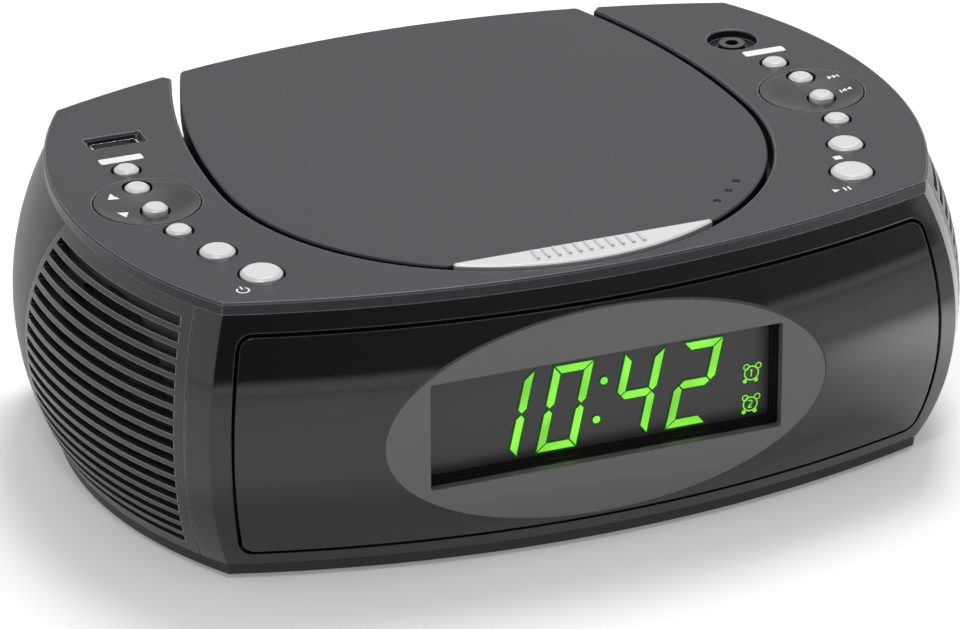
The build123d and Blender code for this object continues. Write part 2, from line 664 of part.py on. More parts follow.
def lit_digits():
    """The lit bars of the display, as shown at one time of day."""
    lean = math.tan(math.radians(DIGIT_SLANT))
    shapes = []
    for value, x in zip("1042", DIGIT_X):
        shapes += digit_bars(value, x)
    for rise in (COLON_RISE, -COLON_RISE):
        shapes.append(Pos(COLON_X + rise * lean, DIGIT_Z + rise) * Circle(DIGIT_STROKE / 2))
    far = FACET_Y + TUNNEL_DEPTH
    return Compound(children=[upright(shape, far - LIT_DEPTH, far) for shape in shapes])


def led_module():
    """Light block of the display, behind the filter."""
    near = FACET_Y + TUNNEL_DEPTH + FILTER
    face = Pos(0, WINDOW_Z) * Rectangle(WINDOW[0] - 2 * MODULE_INSET, WINDOW[1] - 2 * MODULE_INSET)
    return upright(face, near, near + MODULE_DEPTH)


def display_board():
    """Circuit board that carries the light block."""
    near = FACET_Y + TUNNEL_DEPTH + FILTER + MODULE_DEPTH
    width, height = (size + 2 * lap for size, lap in zip(WINDOW, DISPLAY_BOARD_LAP))
    return upright(Pos(0, WINDOW_Z) * Rectangle(width, height), near, near + BOARD)


# Side grilles: louvred panels let into the curved side walls
GRILLE = 2.8
GRILLE_BACKING = 2.0
GRILLE_REAR = ((66.0, -1.6), (79.5, 41.0), (72.0, 81.0))
GRILLE_REACH = 40.0
GRILLE_FRAME = 2.4
SLAT_PITCH = 4.1
SLOT_SHARE = 0.62
SLOT_SWEEP = 100.0
SPEAKER_Y = FRONT_Y + 36.0
SPEAKER_Z = BULGE_Z - 1.0
SPEAKER_HOLE = 30.5


def side_face(points_rear, shrink=0.0):
    """Grille outline as seen from the side, ahead of the rear seam."""
    (y1, d1), (y2, d2), (y3, d3) = points_rear
    arc = ThreePointArc(
        (FRONT_Y + y1 - shrink, TOP - d1),
        (FRONT_Y + y2 - shrink, TOP - d2),
        (FRONT_Y + y3 - shrink, TOP - d3),
    )
    front = FRONT_Y - GRILLE_REACH
    rest = Polyline(arc @ 1, (front, (arc @ 1).Y), (front, (arc @ 0).Y), arc @ 0)
    return make_face(arc + rest)


def grille_zone(sign, shrink=0.0):
    """Prism through one side wall, behind the fascia's seam and ahead of the rear seam."""
    face = Plane.YZ * side_face(GRILLE_REAR, shrink)
    prism = extrude(face, sign * FAR / 2)
    inset = FASCIA_RETURN + FASCIA_SEAM + shrink
    low, high = BODY_BOTTOM + shrink, BODY_TOP - shrink
    return prism & wall_solid("front", inset, low, high)


def slot_cutter(side, sign, number):
    """Ring sector square to the wall's section at one louvre."""
    x, y, plan_radius, bulge = WALLS[side]
    arc = section_radius(side)
    turn = math.degrees(SLAT_PITCH * number / arc)
    slot = Pos(arc - GRILLE / 2, 0) * Rectangle(3 * GRILLE, SLAT_PITCH * SLOT_SHARE)
    slot = Pos(plan_radius + bulge - arc, BULGE_Z) * Rot(0, 0, turn) * slot
    ring = revolve(Plane.XZ * slot, Axis.Z, SLOT_SWEEP)
    ring = Rot(0, 0, -SLOT_SWEEP / 2 if sign > 0 else 180 - SLOT_SWEEP / 2) * ring
    return Pos(x, y, 0) * ring


def speaker_grille(side):
    """Louvred panel: slots cut square to the wall, between a frame all round."""
    sign = 1 if side == "right" else -1
    panel = grille_zone(sign) & barrel(0.0, sides=(side, "front"))
    panel = panel - wall_solid(side, GRILLE)
    window = grille_zone(sign, GRILLE_FRAME)
    span = int((WALL_HEIGHT / 2 - GRILLE_FRAME) / SLAT_PITCH)
    for number in range(-span, span + 1):
        panel = panel - (slot_cutter(side, sign, number) & window)
    return panel


# Speakers: a steel basket on a ring inside each side wall, turned square to it
SPEAKER_RADIUS = 33.0
SPEAKER_RING = 34.0
SPEAKER_SEAT = 14.5
SPEAKER_RIM = 1.6
BASKET_DEPTH = 14.0
BASKET_WINDOW = 11.0
BASKET_TURNS = (0, 60, 120)
MAGNET_RADIUS = 20.0
MAGNET = 12.0
YOKE_INSET = 3.0
YOKE = 2.0
CONE_DEPTH = 9.0
CONE_THROAT = 10.0
PAPER = 0.8
SURROUND = 5.0
DUST_CAP = 8.6


def speaker_place(sign):
    """Middle of the speaker hole on the outer face, local X pointing outwards."""
    side = "right" if sign > 0 else "left"
    x, y, _, _ = WALLS[side]
    reach = wall_reach(side, SPEAKER_Z)
    turn = math.asin((SPEAKER_Y - y) / reach)
    place = (x + sign * reach * math.cos(turn), SPEAKER_Y, SPEAKER_Z)
    angle = math.degrees(turn) if sign > 0 else 180 - math.degrees(turn)
    return Pos(*place) * Rot(0, 0, angle)


def bar_along_x(radius, start, end, low_radius=None):
    """Round bar, or cone, on the local X axis."""
    length = end - start
    shape = Cylinder(radius, length) if low_radius is None else Cone(low_radius, radius, length)
    return Pos((start + end) / 2, 0, 0) * Rot(0, 90, 0) * shape


def speaker_ring(sign):
    """Ring on the inside of the wall that gives the speaker a flat seat."""
    ring = bar_along_x(SPEAKER_RING, -SPEAKER_SEAT, 0)
    ring = ring - bar_along_x(SPEAKER_HOLE, -SPEAKER_SEAT, 0)
    return speaker_place(sign) * ring


def speaker_basket(sign):
    """Rim and open basket."""
    rim = -SPEAKER_SEAT - SPEAKER_RIM
    end = -SPEAKER_SEAT - BASKET_DEPTH
    basket = bar_along_x(SPEAKER_RADIUS, rim, -SPEAKER_SEAT)
    basket = basket + bar_along_x(SPEAKER_HOLE, end, rim, MAGNET_RADIUS)
    throat = MAGNET_RADIUS - SPEAKER_RIM
    hollow = bar_along_x(SPEAKER_HOLE - SPEAKER_RIM, end + SPEAKER_RIM, -SPEAKER_SEAT, throat)
    basket = basket - hollow
    window = Box(BASKET_DEPTH - 4 * SPEAKER_RIM, BASKET_WINDOW, 4 * SPEAKER_RADIUS)
    window = Pos((rim + end) / 2, 0, 0) * window
    for turn in BASKET_TURNS:
        basket = basket - Rot(turn, 0, 0) * window
    return speaker_place(sign) * basket


def speaker_cone(sign):
    """Paper cone whose rubber surround is glued on the basket's rim."""
    seat = -SPEAKER_SEAT
    end = seat - CONE_DEPTH
    outer = SPEAKER_HOLE - FIT_GAP
    throat = CONE_THROAT
    cone = bar_along_x(outer, seat, seat + PAPER)
    cone = cone + bar_along_x(outer - SURROUND, end, seat, throat)
    hollow = bar_along_x(outer - SURROUND - PAPER, end + PAPER, seat + 2 * PAPER, throat - PAPER)
    cap = Pos(end, 0, 0) * Sphere(DUST_CAP)
    cap = cap & Pos(end + DUST_CAP, 0, 0) * Box(2 * DUST_CAP, 4 * DUST_CAP, 4 * DUST_CAP)
    return speaker_place(sign) * ((cone - hollow) + cap)


def speaker_magnet(sign):
    """Ring magnet with its back plate."""
    end = -SPEAKER_SEAT - BASKET_DEPTH
    magnet = bar_along_x(MAGNET_RADIUS, end - MAGNET, end)
    yoke = bar_along_x(MAGNET_RADIUS - YOKE_INSET, end - MAGNET - YOKE, end)
    return speaker_place(sign) * (magnet + yoke)


# Housing shell: vents and the mains inlet in the back wall
SIDES = (("right", 1), ("left", -1))
VENTS = 9
VENT_X = 48.0
VENT_Z = BODY_BOTTOM + 24.0
VENT_PITCH = 5.0
VENT_LENGTH = 22.0
VENT_WIDTH = 2.2
INLET = (17.0, 9.0)
INLET_X = -58.0
INLET_Z = BODY_BOTTOM + 16.0
INLET_FLANGE = 3.0
INLET_LENGTH = 18.0
INLET_PIN = 2.2
INLET_PITCH = 8.0
INLET_RIM = 1.0
INLET_WAIST = 0.7


def housing_shell():
    """Side and back walls, stepped in behind the grilles, notched for the lid's tail."""
    inset = FASCIA_RETURN + FASCIA_SEAM
    shell = barrel() & wall_solid("front", inset)
    for number in range(VENTS):
        x = VENT_X + (number - (VENTS - 1) / 2) * VENT_PITCH
        vent = Pos(x, VENT_Z) * Rectangle(VENT_WIDTH, VENT_LENGTH)
        shell = shell - upright(vent, BACK_Y, BACK_Y + 2 * BACK_BOW)
    mouth = Pos(INLET_X, INLET_Z) * Rectangle(INLET[0] + 2 * FIT_GAP, INLET[1] + 2 * FIT_GAP)
    shell = shell - upright(mouth, BACK_Y, BACK_Y + 2 * BACK_BOW)
    cavity = barrel(WALL)
    step = GRILLE + FIT_GAP
    for side, sign in SIDES:
        shell = shell - (grille_zone(sign, -FIT_GAP / 2) - wall_solid(side, step))
        cavity = cavity - (grille_zone(sign, -WALL) - wall_solid(side, step + GRILLE_BACKING))
    shell = shell - cavity
    for side, sign in SIDES:
        ring = speaker_ring(sign) & wall_solid(side, step) & wall_solid("front", inset)
        hole = speaker_place(sign) * bar_along_x(SPEAKER_HOLE, -SPEAKER_SEAT, SPEAKER_SEAT)
        shell = shell + ring - hole
    return shell - slab(notch_face(), TOP - NOTCH_DROP, TOP)


def inlet_mouth_y():
    """Outer face of the back wall at the inlet."""
    x, y, _, _ = WALLS["back"]
    edge = abs(INLET_X) + INLET[0] / 2
    return y + math.sqrt(wall_reach("back", INLET_Z) ** 2 - edge**2)


def inlet_face():
    """Waisted outline of a two-pole mains inlet."""
    lobe = INLET[1] / 2 - INLET_RIM
    face = Circle(lobe) + Rectangle(INLET_PITCH, 2 * (lobe - INLET_WAIST))
    for side in (-1, 1):
        face = face + Pos(side * INLET_PITCH / 2, 0) * Circle(lobe)
    return Pos(INLET_X, INLET_Z) * face


def power_inlet():
    """Two-pole mains inlet, clipped in the back wall from inside."""
    mouth = inlet_mouth_y()
    body = upright(Pos(INLET_X, INLET_Z) * Rectangle(*INLET), mouth - INLET_LENGTH, mouth)
    flange = Rectangle(INLET[0] + 2 * INLET_FLANGE, INLET[1] + 2 * INLET_FLANGE)
    seat = mouth - WALL - INLET_FLANGE
    body = body + upright(Pos(INLET_X, INLET_Z) * flange, seat - WALL, seat)
    body = body - upright(inlet_face(), mouth - INLET_LENGTH + WALL, mouth)
    for side in (-1, 1):
        pin = Pos(INLET_X + side * INLET_PITCH / 2, INLET_Z) * Circle(INLET_PIN / 2)
        body = body + upright(pin, mouth - INLET_LENGTH, mouth - WALL)
    return body


# Base tray: floor, rim band, posts for the boards, and a battery bay with a sliding door
BASE_INSET = 1.2
FLOOR = 2.4
BASE_LIP = 1.4
BAY = (52.0, 24.0, 15.0)
BAY_X = 20.0
BAY_Y = BACK_Y - 36.0
BAY_WALL = 1.6
DOOR = 1.6
DOOR_LAP = 2.0
DOOR_TONGUE = 1.2
DOOR_GRIPS = 4
GRIP_PITCH = 3.0
CONTACT = 0.6
CONTACT_KNOB = 2.5
FOOT_RADIUS = 6.0
FOOT_SUNK = 0.8
FEET = ((78.0, FRONT_Y + 14.0), (78.0, BACK_Y - 14.0))
POST_RADIUS = 3.6
POST_HEIGHT = 10.0
SCREW = 3.0
SCREW_HEAD = 5.6
SCREW_HEAD_HEIGHT = 2.0
SCREW_LENGTH = 9.0
SCREW_BITE = 0.3
SCREW_CROSS = (3.0, 0.7, 1.0)
FOOT_CHAMFER = 0.5
SCREWS = ((60.0, FRONT_Y + 2.0), (92.0, SIDE_Y + 12.0), (60.0, BACK_Y - 6.0))
BOARD_FRONT = FRONT_Y + 5.0
BOARD_BACK = BACK_Y - 53.0
BOARD_WIDTH = 112.0
BOARD_Y = (BOARD_FRONT + BOARD_BACK) / 2
POST_INSET = 7.0
BOARD_POSTS = (
    (BOARD_WIDTH / 2 - POST_INSET - 1.0, BOARD_FRONT + POST_INSET),
    (BOARD_WIDTH / 2 - POST_INSET - 1.0, BOARD_BACK - POST_INSET),
)


def base_tray():
    """Moulded tray that closes the housing from below."""
    low = FOOT_PROUD
    tray = slab(plan_face(BASE_INSET), low, BODY_BOTTOM)
    tray = tray - slab(plan_face(BASE_INSET + WALL), low + FLOOR, BODY_BOTTOM)
    lip = plan_face(lip_inset()) - plan_face(lip_inset() + LIP)
    tray = tray + slab(lip, low, BODY_BOTTOM + BASE_LIP)
    width, depth, height = BAY
    walls = (width + 2 * BAY_WALL, depth + 2 * BAY_WALL, height + BAY_WALL)
    tray = tray + block(BAY_X, BAY_Y, low, *walls)
    tray = tray - block(BAY_X, BAY_Y, low, width, depth, height)
    for x, y in every(BOARD_POSTS):
        tray = tray + disc(x, y, 2 * POST_RADIUS, low, low + POST_HEIGHT)
        tray = tray - disc(x, y, SCREW - 2 * SCREW_BITE, low + FLOOR, low + POST_HEIGHT)
    for x, y in every(SCREWS):
        tray = tray + disc(x, y, 2 * POST_RADIUS, low, low + POST_HEIGHT / 2)
        tray = tray - disc(x, y, SCREW_HEAD + 2 * FIT_GAP, low, low + SCREW_HEAD_HEIGHT + FIT_GAP)
        tray = tray - disc(x, y, SCREW + 2 * FIT_GAP, low, low + POST_HEIGHT)
    for x, y in every(FEET):
        tray = tray - disc(x, y, 2 * FOOT_RADIUS, low, low + FOOT_SUNK)
    for number in range(VENTS):
        x = VENT_PITCH * (number - (VENTS - 1) / 2) - 3 * VENT_PITCH
        slot = Pos(x, BOARD_Y) * SlotOverall(VENT_LENGTH, VENT_WIDTH, rotation=90)
        tray = tray - slab(slot, low, BODY_BOTTOM)
    pad = Pos(BAY_X, door_front() - BAY_WALL + FAR / 2) * Rectangle(door_width() + 4 * BAY_WALL, FAR)
    tray = tray + slab(pad & plan_face(BASE_INSET), low, low + DOOR + FIT_GAP + BAY_WALL)
    tray = tray - block(BAY_X, BAY_Y, low, width, depth, height)
    path = Pos(BAY_X, door_front() - FIT_GAP + FAR / 2) * Rectangle(door_width() + 2 * FIT_GAP, FAR)
    tray = tray - slab(path, low, low + DOOR + FIT_GAP)
    tongue_low = low + DOOR / 2 - FIT_GAP / 2
    groove = Pos(BAY_X, door_front() - FIT_GAP + FAR / 2)
    groove = groove * Rectangle(door_width() + 2 * DOOR_TONGUE + 2 * FIT_GAP, FAR)
    return tray - slab(groove, tongue_low, low + DOOR + FIT_GAP)


def door_width():
    """Width of the battery door between its tongues."""
    return BAY[0] + 2 * DOOR_LAP


def door_front():
    """Front edge of the battery door."""
    return BAY_Y - BAY[1] / 2 - DOOR_LAP


def battery_door():
    """Door that slides rearwards out of the base, with side tongues and grip ribs."""
    depth = BAY[1] + 2 * DOOR_LAP
    low = FOOT_PROUD
    door = block(BAY_X, BAY_Y, low, door_width(), depth, DOOR)
    tongue_low = low + DOOR / 2
    door = door + block(BAY_X, BAY_Y, tongue_low, door_width() + 2 * DOOR_TONGUE, depth, DOOR / 2)
    for number in range(DOOR_GRIPS):
        y = BAY_Y - depth / 4 + number * GRIP_PITCH
        door = door - block(BAY_X, y, low, BAY[0] / 3, GRIP_PITCH / 3, DOOR / 3)
    return door


def battery_contacts():
    """Sprung steel plates at the two ends of the bay."""
    width, depth, height = BAY
    low = FOOT_PROUD + DOOR + BAY_WALL
    plates = []
    for end in (-1, 1):
        x = BAY_X + end * (width / 2 - CONTACT / 2)
        plate = block(x, BAY_Y, low, CONTACT, depth - BAY_WALL, height - DOOR - 2 * BAY_WALL)
        for side in (-1, 1):
            y = BAY_Y + side * depth / 4
            knob = Pos(x - end * CONTACT, y, low + height / 3) * Rotation(0, 90, 0)
            plate = plate + knob * Cylinder(CONTACT_KNOB, 2 * CONTACT)
        plates.append(plate)
    return Compound(children=plates)


def feet():
    """Four rubber discs glued in shallow sinks."""
    high = FOOT_PROUD + FOOT_SUNK
    discs = [disc(x, y, 2 * FOOT_RADIUS - FIT_GAP, 0, high) for x, y in every(FEET)]
    return Compound(children=[chamfer(foot.edges().sort_by(Axis.Z)[0], FOOT_CHAMFER) for foot in discs])


def base_screws():
    """Screws that hold the base to the housing."""
    group = []
    for x, y in every(SCREWS):
        head_low = FOOT_PROUD + FIT_GAP
        screw = disc(x, y, SCREW_HEAD, head_low, head_low + SCREW_HEAD_HEIGHT)
        screw = screw + disc(x, y, SCREW - SCREW_BITE, head_low, head_low + SCREW_LENGTH)
        long, wide, deep = SCREW_CROSS
        cross = block(x, y, head_low, long, wide, deep) + block(x, y, head_low, wide, long, deep)
        group.append(screw - cross)
    return Compound(children=group)


# Main board and mains transformer: kind, X and Y from the board's middle, size, height
SINK_FINS = 5
SINK_FIN = 7.0
SINK_PLATE = 2.0
BIG_PARTS = (
    ("cap", -40.0, 20.0, 10.0, 16.0),
    ("cap", -26.0, 22.0, 8.0, 12.0),
    ("cap", 38.0, 24.0, 8.0, 12.0),
    ("chip", 4.0, 4.0, 14.0, 2.4),
    ("chip", 26.0, -14.0, 10.0, 2.4),
    ("chip", -26.0, -12.0, 16.0, 2.4),
    ("sink", -46.0, -4.0, 20.0, 14.0),
)


def main_board():
    """Main circuit board on four posts, with its tall parts and a heat sink."""
    low = FOOT_PROUD + POST_HEIGHT
    board = block(0, BOARD_Y, low, BOARD_WIDTH, BOARD_BACK - BOARD_FRONT, BOARD)
    for kind, x, y, size, height in BIG_PARTS:
        if kind == "cap":
            board = board + disc(x, BOARD_Y + y, size, low, low + BOARD + height)
        elif kind == "chip":
            board = board + block(x, BOARD_Y + y, low, size, size, BOARD + height)
        else:
            board = board + block(x, BOARD_Y + y, low, SINK_PLATE, size, BOARD + height)
            for fin in range(SINK_FINS):
                place = BOARD_Y + y + (fin - (SINK_FINS - 1) / 2) * size / SINK_FINS
                fin_size = (SINK_FIN, SINK_PLATE / 2, BOARD + height)
                board = board + block(x - SINK_FIN / 2, place, low, *fin_size)
    return board


TRANSFORMER = (44.0, 36.0, 34.0)
TRANSFORMER_X = -38.0
COIL_INSET = (7.0, 5.0)
COIL_CORNER = 4.0
TRANSFORMER_Y = BACK_Y - 24.0


def transformer():
    """Mains transformer: iron core round a wound coil, on the base floor."""
    width, depth, height = TRANSFORMER
    low = FOOT_PROUD + FLOOR
    core = block(TRANSFORMER_X, TRANSFORMER_Y, low, width, depth / 2, height)
    side, end = COIL_INSET
    coil = block(TRANSFORMER_X, TRANSFORMER_Y, low + end, width - 2 * side, depth, height - 2 * end)
    return core + fillet(coil.edges().filter_by(Axis.Z), COIL_CORNER)


# Disc mechanism under the bowl
CHASSIS_WIDTH = 92.0
CHASSIS_FRONT = DISC_Y - 65.5
CHASSIS_BACK = DISC_Y + 36.0
CHASSIS = 1.6
CHASSIS_GAP = 3.0
CHASSIS_CORNER = 5.0
SLOT_ROOM = 1.0
ROD_EAR = (6.0, 3.0)
CHASSIS_Z = TOP - BOWL_DROP - LEDGE - CHASSIS_GAP
DAMPER_X = 38.0
DAMPER_INSET = 8.0
DAMPER_RADIUS = 5.0
DAMPER_WAIST = 1.5
HUB_RADIUS = 14.0
HUB_CLEAR = 3.0
HUB_PLATE = 2.0
NOSE_RADIUS = 7.3
NOSE_RISE = 4.6
NOSE_CHAMFER = 1.6
BALL = 2.4
BALL_TURNS = (90, 210, 330)
SHAFT = 2.0
MOTOR_RADIUS = 9.0
MOTOR_HEIGHT = 8.0
MOTOR_CAP = 1.2
SHAFT_SHORT = 1.0
ROD = 3.0
ROD_X = 11.0
ROD_DROP = 4.5
SLED_WIDTH = 29.0
SLED_FRONT = 7.0
SLED_REAR = 13.0
SLED_RISE = 1.2
SLED_DROP = 8.5
SLED_HEAD_INSET = 4.0
SLED_CLEAR = 0.8
PICKUP_RADIUS = 25.0
PICKUP_TRAVEL = 28.0
PICKUP_LENS = 6.0
LENS_RIM = 0.5
LENS_SEAT = 2.5
LENS_SUNK = 1.0
LENS_DOME = 1.6
PICKUP_LAP = 5.0
MODULE = 1.0
GEAR_TEETH = 14
GEAR_THICK = 2.2
BACKLASH = 0.35
ADDENDUM = 0.95
DEDENDUM = 1.2
PRESSURE_ANGLE = 20.0
MESH_GAP = 0.1
RACK = 3.0
RACK_WEB = 1.5
RACK_ARM = 4.0
GEAR_DROP = 1.5
GEAR_AHEAD = 3.0
SLED_MOTOR_RADIUS = 6.0
SLED_MOTOR_HEIGHT = 7.5
SLED_MOTOR_LID = 1.0
SHAFT_TOP = 1.5


def slot_ends():
    """Front and rear ends of the chassis slot that the pickup runs in."""
    front = DISC_Y - PICKUP_RADIUS - PICKUP_TRAVEL - SLED_FRONT - SLOT_ROOM
    return front, DISC_Y - MOTOR_RADIUS - ROD_EAR[1] / 2


def mechanism_chassis():
    """Pressed plate with a slot for the pickup and ears that hold its rods."""
    width, thick, z = CHASSIS_WIDTH, CHASSIS, CHASSIS_Z - CHASSIS
    middle = (CHASSIS_FRONT + CHASSIS_BACK) / 2
    plate = block(0, middle, z, width, CHASSIS_BACK - CHASSIS_FRONT, thick)
    plate = fillet(plate.edges().filter_by(Axis.Z), CHASSIS_CORNER)
    front, rear = slot_ends()
    plate = plate - block(0, (front + rear) / 2, z, SLED_WIDTH + 2 * SLOT_ROOM, rear - front, thick)
    plate = plate - disc(0, DISC_Y, 4 * SHAFT, z, CHASSIS_Z)
    for _, x in mirrored(ROD_X):
        for y in (front - ROD_EAR[1] / 2, rear + ROD_EAR[1] / 2):
            plate = plate + block(x, y, z - ROD_DROP - ROD, *ROD_EAR, ROD_DROP + ROD)
            rod_hole = Rotation(90, 0, 0) * Cylinder(ROD / 2, ROD_EAR[1])
            plate = plate - Pos(x, y, z - ROD_DROP) * rod_hole
    for x, y in damper_places():
        plate = plate - disc(x, y, 2 * (DAMPER_RADIUS - DAMPER_WAIST), z, CHASSIS_Z)
    return plate


def damper_places():
    """Middles of the four bushes."""
    rows = (CHASSIS_FRONT + DAMPER_INSET, CHASSIS_BACK - DAMPER_INSET)
    return [(x, y) for y in rows for _, x in mirrored(DAMPER_X)]


def damper_bushes():
    """Waisted rubber bushes between the well's floor and the chassis."""
    group = []
    for x, y in damper_places():
        low = CHASSIS_Z - CHASSIS - CHASSIS_GAP
        bush = disc(x, y, 2 * DAMPER_RADIUS, low, CHASSIS_Z - CHASSIS)
        bush = bush + disc(x, y, 2 * DAMPER_RADIUS, CHASSIS_Z, CHASSIS_Z + CHASSIS_GAP)
        bush = bush + disc(x, y, 2 * (DAMPER_RADIUS - DAMPER_WAIST), low, CHASSIS_Z + CHASSIS_GAP)
        group.append(bush)
    return Compound(children=group)


def spindle_motor():
    """Flat motor under the chassis."""
    high = CHASSIS_Z - CHASSIS
    motor = disc(0, DISC_Y, 2 * MOTOR_RADIUS, high - MOTOR_HEIGHT, high)
    motor = motor + disc(0, DISC_Y, MOTOR_RADIUS, high - MOTOR_HEIGHT - MOTOR_CAP, high)
    return motor - disc(0, DISC_Y, SHAFT + 2 * RUN_GAP, high - MOTOR_HEIGHT, high)


def disc_hub():
    """Turntable with a nose that centres the disc, on the motor's shaft."""
    seat = TOP - BOWL_DROP + HUB_CLEAR
    hub = disc(0, DISC_Y, 2 * HUB_RADIUS, seat - HUB_PLATE, seat)
    nose = disc(0, DISC_Y, 2 * NOSE_RADIUS, seat, seat + NOSE_RISE)
    nose = chamfer(nose.edges().sort_by(Axis.Z)[-1], NOSE_CHAMFER)
    hub = hub + nose
    hub = hub + disc(0, DISC_Y, SHAFT, CHASSIS_Z - CHASSIS - MOTOR_HEIGHT + SHAFT_SHORT, seat)
    for turn in BALL_TURNS:
        bore = Pos(NOSE_RADIUS / 2 + ball_reach() - BALL / 2, 0) * Rot(0, 90, 0)
        bore = bore * Cylinder(BALL / 2 + RUN_GAP, NOSE_RADIUS)
        hub = hub - Pos(0, DISC_Y, seat + NOSE_RISE / 2) * Rot(0, 0, turn) * bore
    return hub


def ball_reach():
    """How far out the balls sit in the nose."""
    return NOSE_RADIUS - BALL / 4


def hub_balls():
    """Steel balls that snap under the disc's inner edge."""
    z = TOP - BOWL_DROP + HUB_CLEAR + NOSE_RISE / 2
    ball = Pos(ball_reach(), 0) * Sphere(BALL / 2)
    return Compound(children=[Pos(0, DISC_Y, z) * Rot(0, 0, turn) * ball for turn in BALL_TURNS])


def rod_z():
    """Height of the rods' middle."""
    return CHASSIS_Z - CHASSIS - ROD_DROP


def guide_rods():
    """Two steel rods that carry the pickup."""
    front, rear = slot_ends()
    length = rear - front + 2 * ROD_EAR[1]
    rods = []
    for _, x in mirrored(ROD_X):
        rods.append(Pos(x, (front + rear) / 2, rod_z()) * Rotation(90, 0, 0) * Cylinder(ROD / 2, length))
    return Compound(children=rods)


def gear_place():
    """Middle of the drive gear: its pitch circle rolls on the rack's pitch line."""
    x = SLED_WIDTH / 2 + RACK / 2 + MODULE * GEAR_TEETH / 2 + MESH_GAP
    return x, DISC_Y - PICKUP_RADIUS - GEAR_AHEAD


def rack_z():
    """Underside of the rack and the gear."""
    return rod_z() - SLED_DROP + ROD_DROP - GEAR_THICK - GEAR_DROP


def tooth_points(pitch_half, height, depth):
    """Half widths of a straight-flanked tooth at its root and tip."""
    lean = math.tan(math.radians(PRESSURE_ANGLE))
    return pitch_half + depth * lean, pitch_half - height * lean


def gear_face():
    """Outline of the gear, one tooth pointing along -X at the rack."""
    pitch_radius = MODULE * GEAR_TEETH / 2
    height, depth = ADDENDUM * MODULE, DEDENDUM * MODULE
    root_half, tip_half = tooth_points(math.pi * MODULE / 4 - BACKLASH / 2, height, depth)
    root, tip = pitch_radius - depth, pitch_radius + height
    points = []
    for number in range(GEAR_TEETH):
        turn = math.pi + 2 * math.pi * number / GEAR_TEETH
        for radius, half in ((root, -root_half), (tip, -tip_half), (tip, tip_half), (root, root_half)):
            angle = turn + half / radius
            points.append((radius * math.cos(angle), radius * math.sin(angle)))
    return make_face(Polyline(*points, close=True))


def sled_gear():
    """Drive gear on the feed motor's shaft, in mesh with the rack."""
    x, y = gear_place()
    gear = Pos(x, y, 0) * slab(gear_face(), rack_z(), rack_z() + GEAR_THICK)
    return gear + disc(x, y, SHAFT, rack_z(), CHASSIS_Z - CHASSIS - SHAFT_TOP)


def sled_motor():
    """Feed motor hung under the chassis beside the slot."""
    x, y = gear_place()
    high = CHASSIS_Z - CHASSIS
    motor = disc(x, y, 2 * SLED_MOTOR_RADIUS, high - SLED_MOTOR_HEIGHT, high)
    return motor - disc(x, y, SHAFT + 2 * RUN_GAP, high - SLED_MOTOR_HEIGHT, high - SLED_MOTOR_LID)


def rack_face():
    """Rack outline: a bar with teeth towards +X, and a gap facing the gear's tooth."""
    _, gear_y = gear_place()
    pitch = math.pi * MODULE
    height, depth = ADDENDUM * MODULE, DEDENDUM * MODULE
    base_x = SLED_WIDTH / 2 - RACK_WEB
    line = SLED_WIDTH / 2 + RACK / 2
    root_half, tip_half = tooth_points(pitch / 4 - BACKLASH / 2, height, depth)
    count = int((PICKUP_TRAVEL + 2 * PICKUP_LAP) / pitch)
    first = gear_y - pitch * (int(PICKUP_LAP / pitch) - 0.5)
    low, high = gear_y - PICKUP_LAP - MODULE, first + pitch * count
    root_x, tip_x = line - depth, line + height
    corners = ((base_x, low), (root_x, low), (root_x, high), (base_x, high))
    face = make_face(Polyline(*corners, close=True))
    for number in range(count):
        y = first + pitch * number
        flanks = (
            (base_x, y - root_half), (root_x, y - root_half), (tip_x, y - tip_half),
            (tip_x, y + tip_half), (root_x, y + root_half), (base_x, y + root_half),
        )
        face = face + make_face(Polyline(*flanks, close=True))
    return face


def pickup_sled():
    """Pickup carriage on its two rods, with a rack along one side."""
    y = DISC_Y - PICKUP_RADIUS
    low, high = rod_z() - SLED_DROP + ROD_DROP, CHASSIS_Z + SLED_RISE
    middle = y + (SLED_REAR - SLED_FRONT) / 2
    length = SLED_FRONT + SLED_REAR
    sled = block(0, middle, low, SLED_WIDTH, length, CHASSIS_Z - CHASSIS - SLED_CLEAR - low)
    sled = sled + block(0, middle, low, SLED_WIDTH - 2 * SLED_HEAD_INSET, length, high - low)
    for _, x in mirrored(ROD_X):
        bore = Cylinder(ROD / 2 + RUN_GAP, length)
        sled = sled - Pos(x, middle, rod_z()) * Rotation(90, 0, 0) * bore
    sled = sled - disc(0, y, PICKUP_LENS + 2 * LENS_RIM, high - LENS_SEAT, high)
    sled = sled + slab(rack_face(), rack_z(), low)
    arm_x = (SLED_WIDTH - RACK_ARM) / 2
    return sled + block(arm_x, middle, rack_z(), RACK_ARM, length, low - rack_z() + SLOT_ROOM)


def pickup_lens():
    """Small objective lens in a ring, seated in the carriage."""
    y = DISC_Y - PICKUP_RADIUS
    high = CHASSIS_Z + SLED_RISE
    ring = disc(0, y, PICKUP_LENS + 2 * LENS_RIM, high - LENS_SEAT, high - LENS_SUNK)
    dome = Pos(0, y, high - LENS_DOME) * Sphere(PICKUP_LENS / 3)
    return ring + (dome & block(0, y, high - LENS_DOME, PICKUP_LENS, PICKUP_LENS, PICKUP_LENS))


def lid_latch():
    """Push latch on the ledge that takes the lid's tongue."""
    x, y = on_lid(LATCH_ANGLE)
    low = TOP - LEDGE_DROP
    slot = block(0, 0, LATCH_FLOOR, RIB + LATCH_ROOM, LATCH_TONGUE + LATCH_ROOM, LATCH[2])
    return Pos(x, y, low) * Rot(0, 0, LATCH_ANGLE) * (block(0, 0, 0, *LATCH) - slot)


